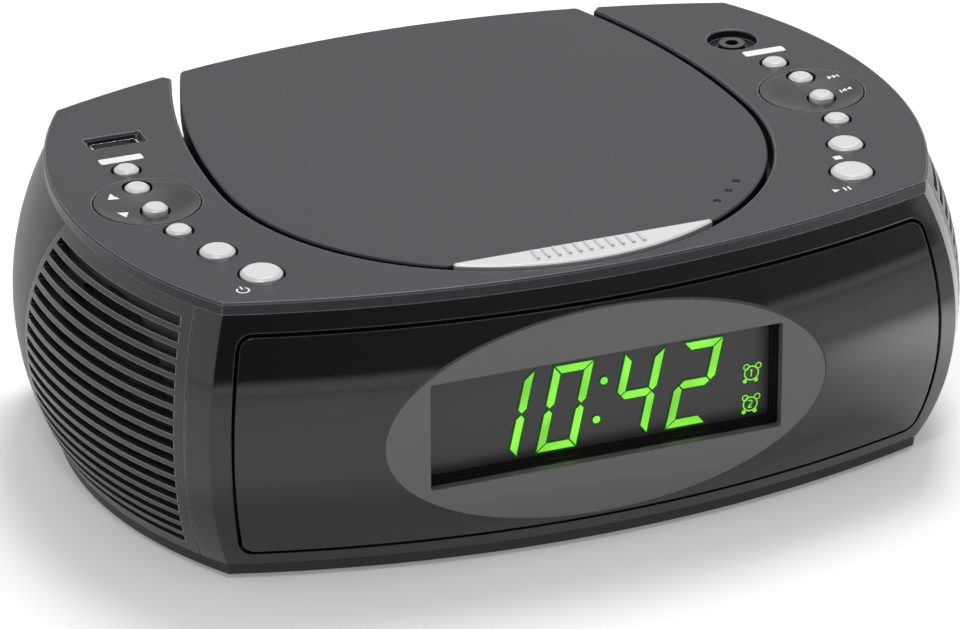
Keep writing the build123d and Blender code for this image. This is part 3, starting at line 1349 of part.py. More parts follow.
def snooze_switch():
    """Push switches under the snooze bar, on the deck's ledge."""
    low = TOP - LEDGE_DROP
    high = TOP + SNOOZE_PROUD - SNOOZE_THICK - SNOOZE_TRAVEL - FIT_GAP
    case = block(0, SNOOZE_PEG_Y, low, SWITCH, SWITCH, high - low - PLUNGER_SHOWS)
    return case + disc(0, SNOOZE_PEG_Y, PLUNGER, low, high)


def all_parts():
    """Every piece by its node name."""
    parts = {
        "top_panel": top_panel(),
        "housing_shell": housing_shell(),
        "base_tray": base_tray(),
        "front_fascia": front_fascia(),
        "lens_panel": lens_panel(),
        "display_bezel": display_bezel(),
        "display_filter": display_filter(),
        "lit_digits": lit_digits(),
        "led_module": led_module(),
        "display_board": display_board(),
        "cd_well": cd_well(),
        "lid_latch": lid_latch(),
        "snooze_switch": snooze_switch(),
        "mechanism_chassis": mechanism_chassis(),
        "damper_bushes": damper_bushes(),
        "spindle_motor": spindle_motor(),
        "guide_rods": guide_rods(),
        "sled_motor": sled_motor(),
        "main_board": main_board(),
        "transformer": transformer(),
        "power_inlet": power_inlet(),
        "usb_socket": usb_socket(),
        "usb_tongue": usb_tongue(),
        "phone_jack": phone_jack(),
        "feet": feet(),
        "base_screws": base_screws(),
        "lid": lid(),
        "hinge_pins": hinge_pins(),
        "snooze_bar": snooze_bar(),
        "disc_hub": disc_hub(),
        "hub_balls": hub_balls(),
        "pickup_sled": pickup_sled(),
        "pickup_lens": pickup_lens(),
        "sled_gear": sled_gear(),
        "battery_door": battery_door(),
        "battery_contacts": battery_contacts(),
    }
    for side, sign in SIDES:
        parts[f"speaker_grille_{side}"] = speaker_grille(side)
        parts[f"speaker_basket_{side}"] = speaker_basket(sign)
        parts[f"speaker_cone_{side}"] = speaker_cone(sign)
        parts[f"speaker_magnet_{side}"] = speaker_magnet(sign)
        parts[f"control_dish_{side}"] = control_dish(sign * DISH_X)
        parts[f"button_board_{side}"] = button_board(sign)
    for left_name, right_name, x, y, diameter, in_dish in BUTTONS:
        parts[f"button_{left_name}"] = button(-x, y, diameter, in_dish)
        parts[f"button_{right_name}"] = button(x, y, diameter, in_dish)
    return parts


os.makedirs("parts", exist_ok=True)
for name, shape in all_parts().items():
    export_step(shape, f"parts/{name}.step")
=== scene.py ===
import math

import bmesh
import bpy
from mathutils import Euler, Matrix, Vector


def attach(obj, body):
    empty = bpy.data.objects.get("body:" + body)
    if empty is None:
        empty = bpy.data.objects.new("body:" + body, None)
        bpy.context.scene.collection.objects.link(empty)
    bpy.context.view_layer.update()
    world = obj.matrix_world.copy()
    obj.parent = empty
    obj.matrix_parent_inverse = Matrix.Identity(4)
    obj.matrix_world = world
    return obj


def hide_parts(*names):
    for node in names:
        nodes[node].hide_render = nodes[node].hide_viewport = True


# A bedside clock radio with a disc player under its lid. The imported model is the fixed
# frame: most of its pieces keep their shape and get their finish here.
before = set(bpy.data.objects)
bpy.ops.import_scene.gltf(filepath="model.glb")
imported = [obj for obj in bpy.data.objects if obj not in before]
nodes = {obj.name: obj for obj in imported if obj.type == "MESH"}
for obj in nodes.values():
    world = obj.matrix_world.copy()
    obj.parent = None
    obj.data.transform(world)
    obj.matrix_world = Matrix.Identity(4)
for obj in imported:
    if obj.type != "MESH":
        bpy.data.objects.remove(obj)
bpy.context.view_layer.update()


# Studio: a white sweep under a large soft lamp behind the radio's right shoulder, so that
# the shadow falls to the front left. A dark card in front shows only in reflections: the
# gloss front mirrors it above its middle and the table below it.
FLOOR_COLOUR = (0.86, 0.86, 0.87, 1)
FLOOR_HALF = 6.0
FLOOR_ROUGHNESS = 0.6
FLOOR_SPECULAR = 0.2
FLOOR_LIFT = 0.2
ROOM_LIGHT = 0.5
KEY_LAMP = ((0.55, 0.75, 2.0), 0.8, 28.0)
FILL_LAMP = ((-0.7, -1.3, 1.9), 0.35, 7.0)
CARD_COLOUR = (0.004, 0.004, 0.004, 1)
CARD_PLACE = (0.6, -1.9, 0.70)
CARD_SIZE = (5.0, 1.15)
CARD_GLOW = (0.08, 0.32)
CARD_GLOW_SPAN = (-1.0, 2.6)
CARD_FADE = 0.12
GLINT_PLACE = (0.178, -0.115, 0.002)
GLINT_RADIUS = 0.09
GLINT_LIGHT = 2.0

floor_mesh = bpy.data.meshes.new("floor")
shape = bmesh.new()
bmesh.ops.create_grid(shape, x_segments=1, y_segments=1, size=FLOOR_HALF)
shape.to_mesh(floor_mesh)
shape.free()
floor = bpy.data.objects.new("floor", floor_mesh)
bpy.context.scene.collection.objects.link(floor)


def seen_rays(tree):
    """Camera, glossy and transmission rays added up, held at 1."""
    path = tree.nodes.new("ShaderNodeLightPath")
    total = path.outputs["Is Camera Ray"]
    for label in ("Is Glossy Ray", "Is Transmission Ray"):
        node = tree.nodes.new("ShaderNodeMath")
        node.operation = "ADD"
        node.use_clamp = True
        tree.links.new(total, node.inputs[0])
        tree.links.new(path.outputs[label], node.inputs[1])
        total = node.outputs[0]
    return total


paper = bpy.data.materials.new("studio_paper")
paper.use_nodes = True
tree = paper.node_tree
surface = tree.nodes["Principled BSDF"]
surface.inputs["Base Color"].default_value = FLOOR_COLOUR
surface.inputs["Roughness"].default_value = FLOOR_ROUGHNESS
surface.inputs["Specular IOR Level"].default_value = FLOOR_SPECULAR
lift = tree.nodes.new("ShaderNodeMath")
lift.operation = "MULTIPLY"
lift.inputs[1].default_value = FLOOR_LIFT
tree.links.new(seen_rays(tree), lift.inputs[0])
surface.inputs["Emission Color"].default_value = (1, 1, 1, 1)
tree.links.new(lift.outputs[0], surface.inputs["Emission Strength"])
floor.data.materials.append(paper)

world = bpy.data.worlds.new("studio")
bpy.context.scene.world = world
world.use_nodes = True
tree = world.node_tree
tree.nodes.clear()
room = tree.nodes.new("ShaderNodeBackground")
room.inputs["Color"].default_value = (1, 1, 1, 1)
room.inputs["Strength"].default_value = ROOM_LIGHT
white = tree.nodes.new("ShaderNodeBackground")
white.inputs["Color"].default_value = (1, 1, 1, 1)
white.inputs["Strength"].default_value = 1.0
mix = tree.nodes.new("ShaderNodeMixShader")
tree.links.new(seen_rays(tree), mix.inputs["Fac"])
tree.links.new(room.outputs[0], mix.inputs[1])
tree.links.new(white.outputs[0], mix.inputs[2])
output = tree.nodes.new("ShaderNodeOutputWorld")
tree.links.new(mix.outputs[0], output.inputs["Surface"])


def soft_lamp(name, place, size, power):
    """Square lamp aimed at the radio."""
    data = bpy.data.lights.new(name, "AREA")
    data.shape = "SQUARE"
    data.size = size
    data.energy = power
    lamp = bpy.data.objects.new(name, data)
    lamp.location = place
    lamp.rotation_euler = (-Vector(place)).to_track_quat("-Z", "Y").to_euler()
    bpy.context.scene.collection.objects.link(lamp)


soft_lamp("key", *KEY_LAMP)
soft_lamp("fill", *FILL_LAMP)


def mirrored_sheet(name, shape):
    """Studio sheet that only mirrors see, with an empty material of its name."""
    mesh = bpy.data.meshes.new(name)
    shape.to_mesh(mesh)
    shape.free()
    sheet = bpy.data.objects.new(name, mesh)
    sheet.visible_camera = False
    sheet.visible_diffuse = False
    sheet.visible_shadow = False
    sheet.visible_transmission = False
    bpy.context.scene.collection.objects.link(sheet)
    material = bpy.data.materials.new(name)
    material.use_nodes = True
    mesh.materials.append(material)
    return sheet, material.node_tree


shape = bmesh.new()
bmesh.ops.create_grid(shape, x_segments=1, y_segments=1, size=0.5)
bmesh.ops.scale(shape, vec=(*CARD_SIZE, 1), verts=shape.verts)
upright = Euler((math.pi / 2, 0, 0)).to_matrix()
bmesh.ops.rotate(shape, cent=(0, 0, 0), matrix=upright, verts=shape.verts)
bmesh.ops.translate(shape, vec=CARD_PLACE, verts=shape.verts)
card, tree = mirrored_sheet("card_front", shape)
surface = tree.nodes["Principled BSDF"]
surface.inputs["Base Color"].default_value = CARD_COLOUR
surface.inputs["Roughness"].default_value = 1.0
surface.inputs["Specular IOR Level"].default_value = 0.0
surface.inputs["Emission Color"].default_value = (1, 1, 1, 1)
where = tree.nodes.new("ShaderNodeTexCoord")
split = tree.nodes.new("ShaderNodeSeparateXYZ")
tree.links.new(where.outputs["Object"], split.inputs[0])
card_low = CARD_PLACE[2] - CARD_SIZE[1] / 2
for axis, span, values, socket in (
    ("X", CARD_GLOW_SPAN, CARD_GLOW, "Emission Strength"),
    ("Z", (card_low, card_low + CARD_FADE), (0.0, 1.0), "Alpha"),
):
    ramp = tree.nodes.new("ShaderNodeMapRange")
    tree.links.new(split.outputs[axis], ramp.inputs["Value"])
    ramp.inputs["From Min"].default_value = span[0]
    ramp.inputs["From Max"].default_value = span[1]
    ramp.inputs["To Min"].default_value = values[0]
    ramp.inputs["To Max"].default_value = values[1]
    tree.links.new(ramp.outputs[0], surface.inputs[socket])

# Patch of light on the table at the right, for the gloss front's curved end
shape = bmesh.new()
bmesh.ops.create_grid(shape, x_segments=1, y_segments=1, size=GLINT_RADIUS)
bmesh.ops.translate(shape, vec=GLINT_PLACE, verts=shape.verts)
glint, tree = mirrored_sheet("table_glint", shape)
tree.nodes.clear()
where = tree.nodes.new("ShaderNodeTexCoord")
away = tree.nodes.new("ShaderNodeVectorMath")
away.operation = "DISTANCE"
away.inputs[1].default_value = GLINT_PLACE
tree.links.new(where.outputs["Object"], away.inputs[0])
fall = tree.nodes.new("ShaderNodeMapRange")
fall.interpolation_type = "SMOOTHSTEP"
tree.links.new(away.outputs["Value"], fall.inputs["Value"])
fall.inputs["From Max"].default_value = GLINT_RADIUS
fall.inputs["To Min"].default_value = GLINT_LIGHT
fall.inputs["To Max"].default_value = 0.0
clear = tree.nodes.new("ShaderNodeBsdfTransparent")
shine = tree.nodes.new("ShaderNodeEmission")
tree.links.new(fall.outputs[0], shine.inputs["Strength"])
both = tree.nodes.new("ShaderNodeAddShader")
tree.links.new(clear.outputs[0], both.inputs[0])
tree.links.new(shine.outputs[0], both.inputs[1])
output = tree.nodes.new("ShaderNodeOutputMaterial")
tree.links.new(both.outputs[0], output.inputs["Surface"])


# Camera: a long lens from the front left, above the radio
CAMERA_PLACE = (-0.6138, -1.5074, 0.8154)
CAMERA_DOWN = 25.78
CAMERA_TURN = 22.13
CAMERA_LENS = 247.5
CAMERA_SENSOR = 36
camera_data = bpy.data.cameras.new("camera")
camera_data.sensor_width = CAMERA_SENSOR
camera_data.lens = CAMERA_LENS
camera = bpy.data.objects.new("camera", camera_data)
camera.location = CAMERA_PLACE
camera.rotation_euler = (math.radians(90 - CAMERA_DOWN), 0, math.radians(-CAMERA_TURN))
bpy.context.scene.collection.objects.link(camera)
bpy.context.scene.camera = camera
bpy.context.scene.view_settings.view_transform = "Standard"


# Housing: side and back walls in one moulding of charcoal ABS with a satin spark-eroded
# skin. Its grain, its softened edges and a painted highlight line along those edges come
# from one group that every moulded piece shares.
MM = 0.001
SHELL_COLOUR = (0.013, 0.013, 0.014)
SHELL_ROUGHNESS = 0.42
GRAIN_HEIGHT = 0.00006
DRIFT_SCALE = 14
EDGE_SAMPLES = 4
# Painted edge highlight: how quickly it rises across a softened edge, and its colour
EDGE_HIGHLIGHT_SPREAD = 5.0
EDGE_HIGHLIGHT_COLOUR = (0.62, 0.62, 0.63, 1)
COAT_ROUGHNESS = 0.05


def new_group(name, inputs, outputs):
    """Shader group with its sockets, given as (name, type, default)."""
    group = bpy.data.node_groups.new(name, "ShaderNodeTree")
    for label, kind, default in inputs:
        socket = group.interface.new_socket(label, in_out="INPUT", socket_type=kind)
        socket.default_value = default
    for label, kind in outputs:
        group.interface.new_socket(label, in_out="OUTPUT", socket_type=kind)
    return group, group.nodes.new("NodeGroupInput"), group.nodes.new("NodeGroupOutput")


def math_node(tree, operation, first, second=None):
    """Math node fed by sockets or plain numbers."""
    node = tree.nodes.new("ShaderNodeMath")
    node.operation = operation
    for number, value in enumerate((first, second)):
        if value is None:
            continue
        if isinstance(value, (int, float)):
            node.inputs[number].default_value = value
        else:
            tree.links.new(value, node.inputs[number])
    return node.outputs[0]


group, group_in, group_out = new_group(
    "moulded_grain",
    (
        ("Colour", "NodeSocketColor", (0.1, 0.1, 0.1, 1)),
        ("Roughness", "NodeSocketFloat", 0.4),
        ("Scale", "NodeSocketFloat", 2600.0),
        ("Depth", "NodeSocketFloat", 0.15),
        ("Drift", "NodeSocketFloat", 0.08),
        ("Edge", "NodeSocketFloat", 0.0003),
        ("Edge Highlight", "NodeSocketFloat", 0.0),
    ),
    (
        ("Colour", "NodeSocketColor"),
        ("Roughness", "NodeSocketFloat"),
        ("Normal", "NodeSocketVector"),
    ),
)
grain_group = group
place = group.nodes.new("ShaderNodeTexCoord")
fine = group.nodes.new("ShaderNodeTexNoise")
fine.inputs["Detail"].default_value = 3
group.links.new(place.outputs["Object"], fine.inputs["Vector"])
group.links.new(group_in.outputs["Scale"], fine.inputs["Scale"])
broad = group.nodes.new("ShaderNodeTexNoise")
broad.inputs["Scale"].default_value = DRIFT_SCALE
broad.inputs["Detail"].default_value = 2
group.links.new(place.outputs["Object"], broad.inputs["Vector"])
centred = math_node(group, "SUBTRACT", broad.outputs["Fac"], 0.5)
drift = math_node(group, "MULTIPLY", centred, group_in.outputs["Drift"])
shade = group.nodes.new("ShaderNodeHueSaturation")
group.links.new(math_node(group, "ADD", drift, 1.0), shade.inputs["Value"])
group.links.new(group_in.outputs["Colour"], shade.inputs["Color"])

soft_edge = group.nodes.new("ShaderNodeBevel")
soft_edge.samples = EDGE_SAMPLES
group.links.new(group_in.outputs["Edge"], soft_edge.inputs["Radius"])
# Painted highlight: where the softened edge's normal turns away from the flat face, the colour is mixed
# towards a light grey
flat = group.nodes.new("ShaderNodeNewGeometry")
facing = group.nodes.new("ShaderNodeVectorMath")
facing.operation = "DOT_PRODUCT"
group.links.new(soft_edge.outputs["Normal"], facing.inputs[0])
group.links.new(flat.outputs["Normal"], facing.inputs[1])
turned = math_node(group, "SUBTRACT", 1.0, facing.outputs["Value"])
turned = math_node(group, "MULTIPLY", turned, EDGE_HIGHLIGHT_SPREAD)
turned = math_node(group, "MINIMUM", turned, 1.0)
edge_highlight_mask = math_node(group, "MULTIPLY", turned, group_in.outputs["Edge Highlight"])
edge_highlight_mix = group.nodes.new("ShaderNodeMix")
edge_highlight_mix.data_type = "RGBA"
group.links.new(edge_highlight_mask, edge_highlight_mix.inputs["Factor"])
group.links.new(shade.outputs["Color"], edge_highlight_mix.inputs["A"])
edge_highlight_mix.inputs["B"].default_value = EDGE_HIGHLIGHT_COLOUR
group.links.new(edge_highlight_mix.outputs["Result"], group_out.inputs["Colour"])

speckle = math_node(group, "SUBTRACT", fine.outputs["Fac"], 0.5)
speckle = math_node(group, "MULTIPLY", speckle, group_in.outputs["Depth"])
uneven = math_node(group, "ADD", drift, speckle)
rough = math_node(group, "ADD", group_in.outputs["Roughness"], uneven)
group.links.new(rough, group_out.inputs["Roughness"])
bump = group.nodes.new("ShaderNodeBump")
bump.inputs["Distance"].default_value = GRAIN_HEIGHT
group.links.new(group_in.outputs["Depth"], bump.inputs["Strength"])
group.links.new(fine.outputs["Fac"], bump.inputs["Height"])
group.links.new(soft_edge.outputs["Normal"], bump.inputs["Normal"])
group.links.new(bump.outputs["Normal"], group_out.inputs["Normal"])


def moulded(
    name, colour, roughness, depth=0.15, scale=2600.0, drift=0.08, edge=0.3, edge_highlight=0.0,
    ior=1.5, coat=0.0, metallic=0.0,
):
    """Plastic, paint or metal with the shared grain and an optional painted highlight along its edges; its
    edge radius is in millimetres.
    """
    material = bpy.data.materials.new(name)
    material.use_nodes = True
    tree = material.node_tree
    shader = tree.nodes["Principled BSDF"]
    grain = tree.nodes.new("ShaderNodeGroup")
    grain.node_tree = grain_group
    grain.name = "grain"
    grain.inputs["Colour"].default_value = (*colour, 1)
    grain.inputs["Roughness"].default_value = roughness
    grain.inputs["Scale"].default_value = scale
    grain.inputs["Depth"].default_value = depth
    grain.inputs["Drift"].default_value = drift
    grain.inputs["Edge"].default_value = edge * MM
    grain.inputs["Edge Highlight"].default_value = edge_highlight
    tree.links.new(grain.outputs["Colour"], shader.inputs["Base Color"])
    tree.links.new(grain.outputs["Roughness"], shader.inputs["Roughness"])
    tree.links.new(grain.outputs["Normal"], shader.inputs["Normal"])
    shader.inputs["IOR"].default_value = ior
    shader.inputs["Coat Weight"].default_value = coat
    shader.inputs["Coat Roughness"].default_value = COAT_ROUGHNESS
    shader.inputs["Metallic"].default_value = metallic
    return material


def finish(material, *names):
    """Gives CAD pieces their finish."""
    for name in names:
        mesh = nodes[name].data
        mesh.materials.clear()
        mesh.materials.append(material)


shell_skin = moulded("charcoal_shell", SHELL_COLOUR, SHELL_ROUGHNESS, depth=0.2, ior=1.4)
finish(shell_skin, "housing_shell")


# Base: a tray of darker ABS, screwed up into the shell, on four rubber feet. The battery
# door slides in rails under it, over two nickel contacts.
BASE_COLOUR = (0.010, 0.010, 0.011)
RUBBER_COLOUR = (0.010, 0.010, 0.010)
STEEL_COLOUR = (0.56, 0.56, 0.57)
finish(moulded("base_plastic", BASE_COLOUR, roughness=0.45), "base_tray", "battery_door")
rubber = moulded("black_rubber", RUBBER_COLOUR, roughness=0.8, depth=0.5, scale=1400.0)
finish(rubber, "feet")
steel = moulded(
    "plated_steel", STEEL_COLOUR, roughness=0.28, depth=0.08, scale=900.0, edge=0.1, metallic=1.0
)
finish(steel, "base_screws", "battery_contacts")


# Speaker grilles: louvred ABS panels let into the curved sides, their slats' edges lightened
# by a painted highlight, and behind each a pressed steel basket with a paper cone and a magnet
GRILLE_COLOUR = (0.026, 0.026, 0.027)
CONE_COLOUR = (0.008, 0.008, 0.008)
BASKET_COLOUR = (0.012, 0.012, 0.013)
MAGNET_COLOUR = (0.03, 0.03, 0.032)
SIDES = ("left", "right")
grille_skin = moulded("grille_plastic", GRILLE_COLOUR, roughness=0.34, depth=0.25, edge=0.4, edge_highlight=0.7)
cone_paper = moulded("paper_cone", CONE_COLOUR, roughness=0.9, depth=0.8, scale=700.0)
basket_paint = moulded("basket_paint", BASKET_COLOUR, roughness=0.5, edge=0.2)
ferrite = moulded("ferrite", MAGNET_COLOUR, roughness=0.6, depth=0.4)
for side in SIDES:
    finish(grille_skin, f"speaker_grille_{side}")
    finish(cone_paper, f"speaker_cone_{side}")
    finish(basket_paint, f"speaker_basket_{side}")
    finish(ferrite, f"speaker_magnet_{side}")


# Front frame: a high-gloss black moulding that turns back round the corners and closes
# against the shell
GLOSS_COLOUR = (0.0035, 0.0035, 0.004)
GLOSS_IOR = 1.58
front_gloss = moulded(
    "black_gloss", GLOSS_COLOUR, roughness=0.07, depth=0.0, drift=0.03, edge=0.45, ior=GLOSS_IOR
)
finish(front_gloss, "front_fascia")


# Lens panel: clear acrylic back-printed in black, with a flat oval round the window that
# is printed in satin grey
LENS_ROUGHNESS = 0.06
OVAL_CENTRE = (0.0, 40.7)
OVAL_HALF = (62.6, 29.8)
OVAL_COLOUR = (0.105, 0.105, 0.105, 1)
OVAL_ROUGHNESS = 0.42
lens_skin = moulded(
    "lens_print", GLOSS_COLOUR, LENS_ROUGHNESS, depth=0.0, drift=0.03, edge=0.4, ior=GLOSS_IOR
)
tree = lens_skin.node_tree
grain = tree.nodes["grain"]
place = tree.nodes.new("ShaderNodeTexCoord")
axes = tree.nodes.new("ShaderNodeSeparateXYZ")
tree.links.new(place.outputs["Object"], axes.inputs[0])
reach = []
for axis, centre, half in zip(("X", "Z"), OVAL_CENTRE, OVAL_HALF):
    share = math_node(tree, "SUBTRACT", axes.outputs[axis], centre * MM)
    share = math_node(tree, "DIVIDE", share, half * MM)
    share = math_node(tree, "ABSOLUTE", share)
    reach.append(math_node(tree, "POWER", share, 2.0))
inside = math_node(tree, "LESS_THAN", math_node(tree, "ADD", *reach), 1.0)
print_colour = tree.nodes.new("ShaderNodeMix")
print_colour.data_type = "RGBA"
tree.links.new(inside, print_colour.inputs["Factor"])
print_colour.inputs["A"].default_value = (*GLOSS_COLOUR, 1)
print_colour.inputs["B"].default_value = OVAL_COLOUR
tree.links.new(print_colour.outputs["Result"], grain.inputs["Colour"])
print_rough = tree.nodes.new("ShaderNodeMix")
print_rough.data_type = "FLOAT"
tree.links.new(inside, print_rough.inputs["Factor"])
print_rough.inputs["A"].default_value = LENS_ROUGHNESS
print_rough.inputs["B"].default_value = OVAL_ROUGHNESS
tree.links.new(print_rough.outputs["Result"], grain.inputs["Roughness"])
finish(lens_skin, "lens_panel")


# Display: a stepped black tunnel behind the window, closed by a smoked plate in front of
# the light block
BEZEL_COLOUR = (0.003, 0.003, 0.003)
SMOKE_COLOUR = (0.028, 0.028, 0.028)
INNER_COLOUR = (0.008, 0.008, 0.008)
bezel_black = moulded("bezel_black", BEZEL_COLOUR, roughness=0.55, depth=0.3, edge=0.12, ior=1.3)
finish(bezel_black, "display_bezel")
finish(moulded("display_smoke", SMOKE_COLOUR, roughness=0.3, depth=0.0, drift=0.1), "display_filter")
inner_black = moulded("inner_black", INNER_COLOUR, roughness=0.5)
finish(inner_black, "led_module")


# Lit digits: seven-segment bars that show in the smoked plate's face, each inside a dark
# green fringe, with a colon between hours and minutes
DIGITS = (("1", -26.5), ("0", -9.6), ("4", 10.7), ("2", 27.5))
DIGIT_Z = 40.45
DIGIT_HALF_WIDTH = 4.5
DIGIT_HALF_HEIGHT = 11.0
DIGIT_LEAN = math.tan(math.radians(12.0))
BAR = 2.15
BAR_GAP = 0.28
FRINGE = 0.38
LIT_Y = -80.95
LIT_DEEP = 0.1
LIME = (0.30, 0.95, 0.09)
FRINGE_GREEN = (0.003, 0.13, 0.006)
GLOW_RANGE = (0.75, 1.15)
GLOW_SCALE = 90
GLOW_SPREAD = (0.3, 0.7)
UNLIT_COLOUR = (0.004, 0.02, 0.002, 1)
COLON = ((1.5, 45.9), (-0.6, 34.9))
COLON_DOT = 1.05
DOT_STEPS = 28
SMOOTH_ANGLE = math.radians(35)
MERGE = 1e-6
SEGMENTS = {"0": "abcdef", "1": "bc", "2": "abged", "4": "fgbc"}
CORNERS = {
    "a": ((-1, 1), (1, 1)),
    "b": ((1, 1), (1, 0)),
    "c": ((1, 0), (1, -1)),
    "d": ((-1, -1), (1, -1)),
    "e": ((-1, 0), (-1, -1)),
    "f": ((-1, 1), (-1, 0)),
    "g": ((-1, 0), (1, 0)),
}
MITRES = {
    "a": (1, 1),
    "b": (1, 0),
    "c": (0, 1),
    "d": (-1, -1),
    "e": (0, -1),
    "f": (-1, 0),
    "g": (0, 0),
}


def new_piece(name, shape, material, body="body"):
    """Turns a finished bmesh into a piece that rides on a body."""
    mesh = bpy.data.meshes.new(name)
    shape.to_mesh(mesh)
    shape.free()
    mesh.materials.append(material)
    mesh.polygons.foreach_set("use_smooth", [True] * len(mesh.polygons))
    mesh.set_sharp_from_angle(angle=SMOOTH_ANGLE)
    piece = bpy.data.objects.new(name, mesh)
    bpy.context.scene.collection.objects.link(piece)
    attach(piece, body)
    return piece


def flat_plate(shape, points, near):
    """Thin upright plate from its corners in the display's plane."""
    corners = [shape.verts.new((x * MM, near * MM, z * MM)) for x, z in points]
    face = shape.faces.new(corners)
    moved = bmesh.ops.extrude_face_region(shape, geom=[face])
    moved = [item for item in moved["geom"] if isinstance(item, bmesh.types.BMVert)]
    bmesh.ops.translate(shape, vec=(0, LIT_DEEP * MM, 0), verts=moved)


def bar_outline(start, end, width, gap, mitres=(0, 0)):
    """Corners of a bar; each end is pointed, or mitred towards one side."""
    (x1, z1), (x2, z2) = start, end
    length = math.hypot(x2 - x1, z2 - z1)
    ux, uz = (x2 - x1) / length, (z2 - z1) / length
    half = width / 2
    points = []
    for end_place, inward, mitre in ((0, 1, mitres[0]), (length, -1, mitres[1])):
        ends = []
        for across in (-half, 0, half):
            back = abs(across) if mitre == 0 else -across * mitre
            ends.append((end_place + inward * (gap + back), across))
        points += ends if inward == 1 else ends[::-1]
    return [
        (x1 + ux * along - uz * across, z1 + uz * along + ux * across) for along, across in points
    ]


def dot(shape, x, z, radius, near, inner=0.0):
    """Round dot, or a ring with an inner radius, in the display's plane."""
    start = [shape.verts.new(((x + r) * MM, near * MM, z * MM)) for r in (inner, radius)]
    line = shape.edges.new(start)
    bmesh.ops.spin(
        shape, geom=[*start, line], cent=(x * MM, near * MM, z * MM), axis=(0, 1, 0),
        dvec=(0, 0, 0), angle=2 * math.pi, steps=DOT_STEPS, use_merge=True,
        use_duplicate=False,
    )


def digits(width, near, gap):
    """All four digits and the colon in one shape."""
    shape = bmesh.new()
    for value, middle in DIGITS:
        for name in SEGMENTS[value]:
            start, end = [
                (across * DIGIT_HALF_WIDTH, up * DIGIT_HALF_HEIGHT) for across, up in CORNERS[name]
            ]
            outline = bar_outline(start, end, width, gap, MITRES[name])
            leant = [(middle + x + z * DIGIT_LEAN, DIGIT_Z + z) for x, z in outline]
            flat_plate(shape, leant, near)
    for x, z in COLON:
        dot(shape, x, z, COLON_DOT + (width - BAR) / 2, near)
    bmesh.ops.remove_doubles(shape, verts=shape.verts, dist=MERGE)
    bmesh.ops.recalc_face_normals(shape, faces=shape.faces)
    return shape


def glow(name, colour, strength):
    """Lit plastic, a little uneven along the bars."""
    material = bpy.data.materials.new(name)
    material.use_nodes = True
    tree = material.node_tree
    shader = tree.nodes["Principled BSDF"]
    place = tree.nodes.new("ShaderNodeTexCoord")
    noise = tree.nodes.new("ShaderNodeTexNoise")
    noise.inputs["Scale"].default_value = GLOW_SCALE
    noise.inputs["Detail"].default_value = 1
    tree.links.new(place.outputs["Object"], noise.inputs["Vector"])
    ramp = tree.nodes.new("ShaderNodeValToRGB")
    for element, position, part in zip(ramp.color_ramp.elements, GLOW_SPREAD, GLOW_RANGE):
        element.position = position
        element.color = (*[part * value for value in colour], 1)
    tree.links.new(noise.outputs["Fac"], ramp.inputs["Fac"])
    tree.links.new(ramp.outputs["Color"], shader.inputs["Emission Color"])
    shader.inputs["Emission Strength"].default_value = strength
    shader.inputs["Base Color"].default_value = UNLIT_COLOUR
    shader.inputs["Roughness"].default_value = 0.6
    shader.inputs["Specular IOR Level"].default_value = 0.1
    return material


lime = glow("lit_lime", LIME, strength=0.95)
fringe_green = glow("lit_fringe", FRINGE_GREEN, strength=0.9)
bars = new_piece("digit_bars", digits(BAR, LIT_Y, BAR_GAP), lime)
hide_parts("lit_digits")
outer = digits(BAR + 2 * FRINGE, LIT_Y + LIT_DEEP / 2, BAR_GAP - FRINGE)
new_piece("digit_fringe", outer, fringe_green)


# Alarm marks: two small lit clocks, one over the other at the right of the digits, each a
# ring with two bells, two feet and its number
ALARM_MARKS = (("1", 44.0, 40.3), ("2", 43.8, 31.2))
MARK_RING = 2.2
MARK_LINE = 0.42
MARK_LEAN = 0.25
BELL = (1.75, 1.95)
BELL_RADIUS = 0.95
FOOT = (1.6, -2.15)
FOOT_RADIUS = 0.62
BELL_HOLE = 0.62
NUMERAL_LINE = 0.36
NUMERALS = {
    "1": (
        ((-0.35, 0.55), (0.1, 1.05)),
        ((0.12, 1.1), (-0.12, -1.1)),
    ),
    "2": (
        ((-0.55, 0.95), (0.6, 0.95)),
        ((0.62, 0.9), (0.5, 0.15)),
        ((0.5, 0.1), (-0.65, -0.95)),
        ((-0.7, -1.0), (0.55, -1.0)),
    ),
}
marks = bmesh.new()
for value, x, z in ALARM_MARKS:
    dot(marks, x, z, MARK_RING, LIT_Y, MARK_RING - MARK_LINE)
    for across in (-1, 1):
        dot(marks, x + across * BELL[0] + MARK_LEAN, z + BELL[1], BELL_RADIUS, LIT_Y, BELL_HOLE)
        dot(marks, x + across * FOOT[0] - MARK_LEAN, z + FOOT[1], FOOT_RADIUS, LIT_Y)
    for ends in NUMERALS[value]:
        start, end = [(x + across, z + up) for across, up in ends]
        flat_plate(marks, bar_outline(start, end, NUMERAL_LINE, gap=0.0), LIT_Y)
bmesh.ops.remove_doubles(marks, verts=marks.verts, dist=MERGE)
new_piece("alarm_marks", marks, lime)


# Top panel and lid: charcoal ABS with a fine grain. The panel lies on the shell, and its
# edges are lightened along the gaps by a painted highlight. The lid turns on two pins at the back.
TOP = 81.0
TOP_COLOUR = (0.0105, 0.0098, 0.0165)
TOP_ROUGHNESS = 0.36
TOP_GRAIN = {"depth": 0.22, "scale": 2200.0, "ior": 1.38}
top_skin = moulded(
    "charcoal_top", TOP_COLOUR, TOP_ROUGHNESS, edge=0.45, edge_highlight=0.65, **TOP_GRAIN
)
finish(top_skin, "top_panel")
lid_skin = moulded("charcoal_lid", TOP_COLOUR, TOP_ROUGHNESS, edge=0.3, **TOP_GRAIN)
finish(lid_skin, "lid")
finish(inner_black, "lid_latch")


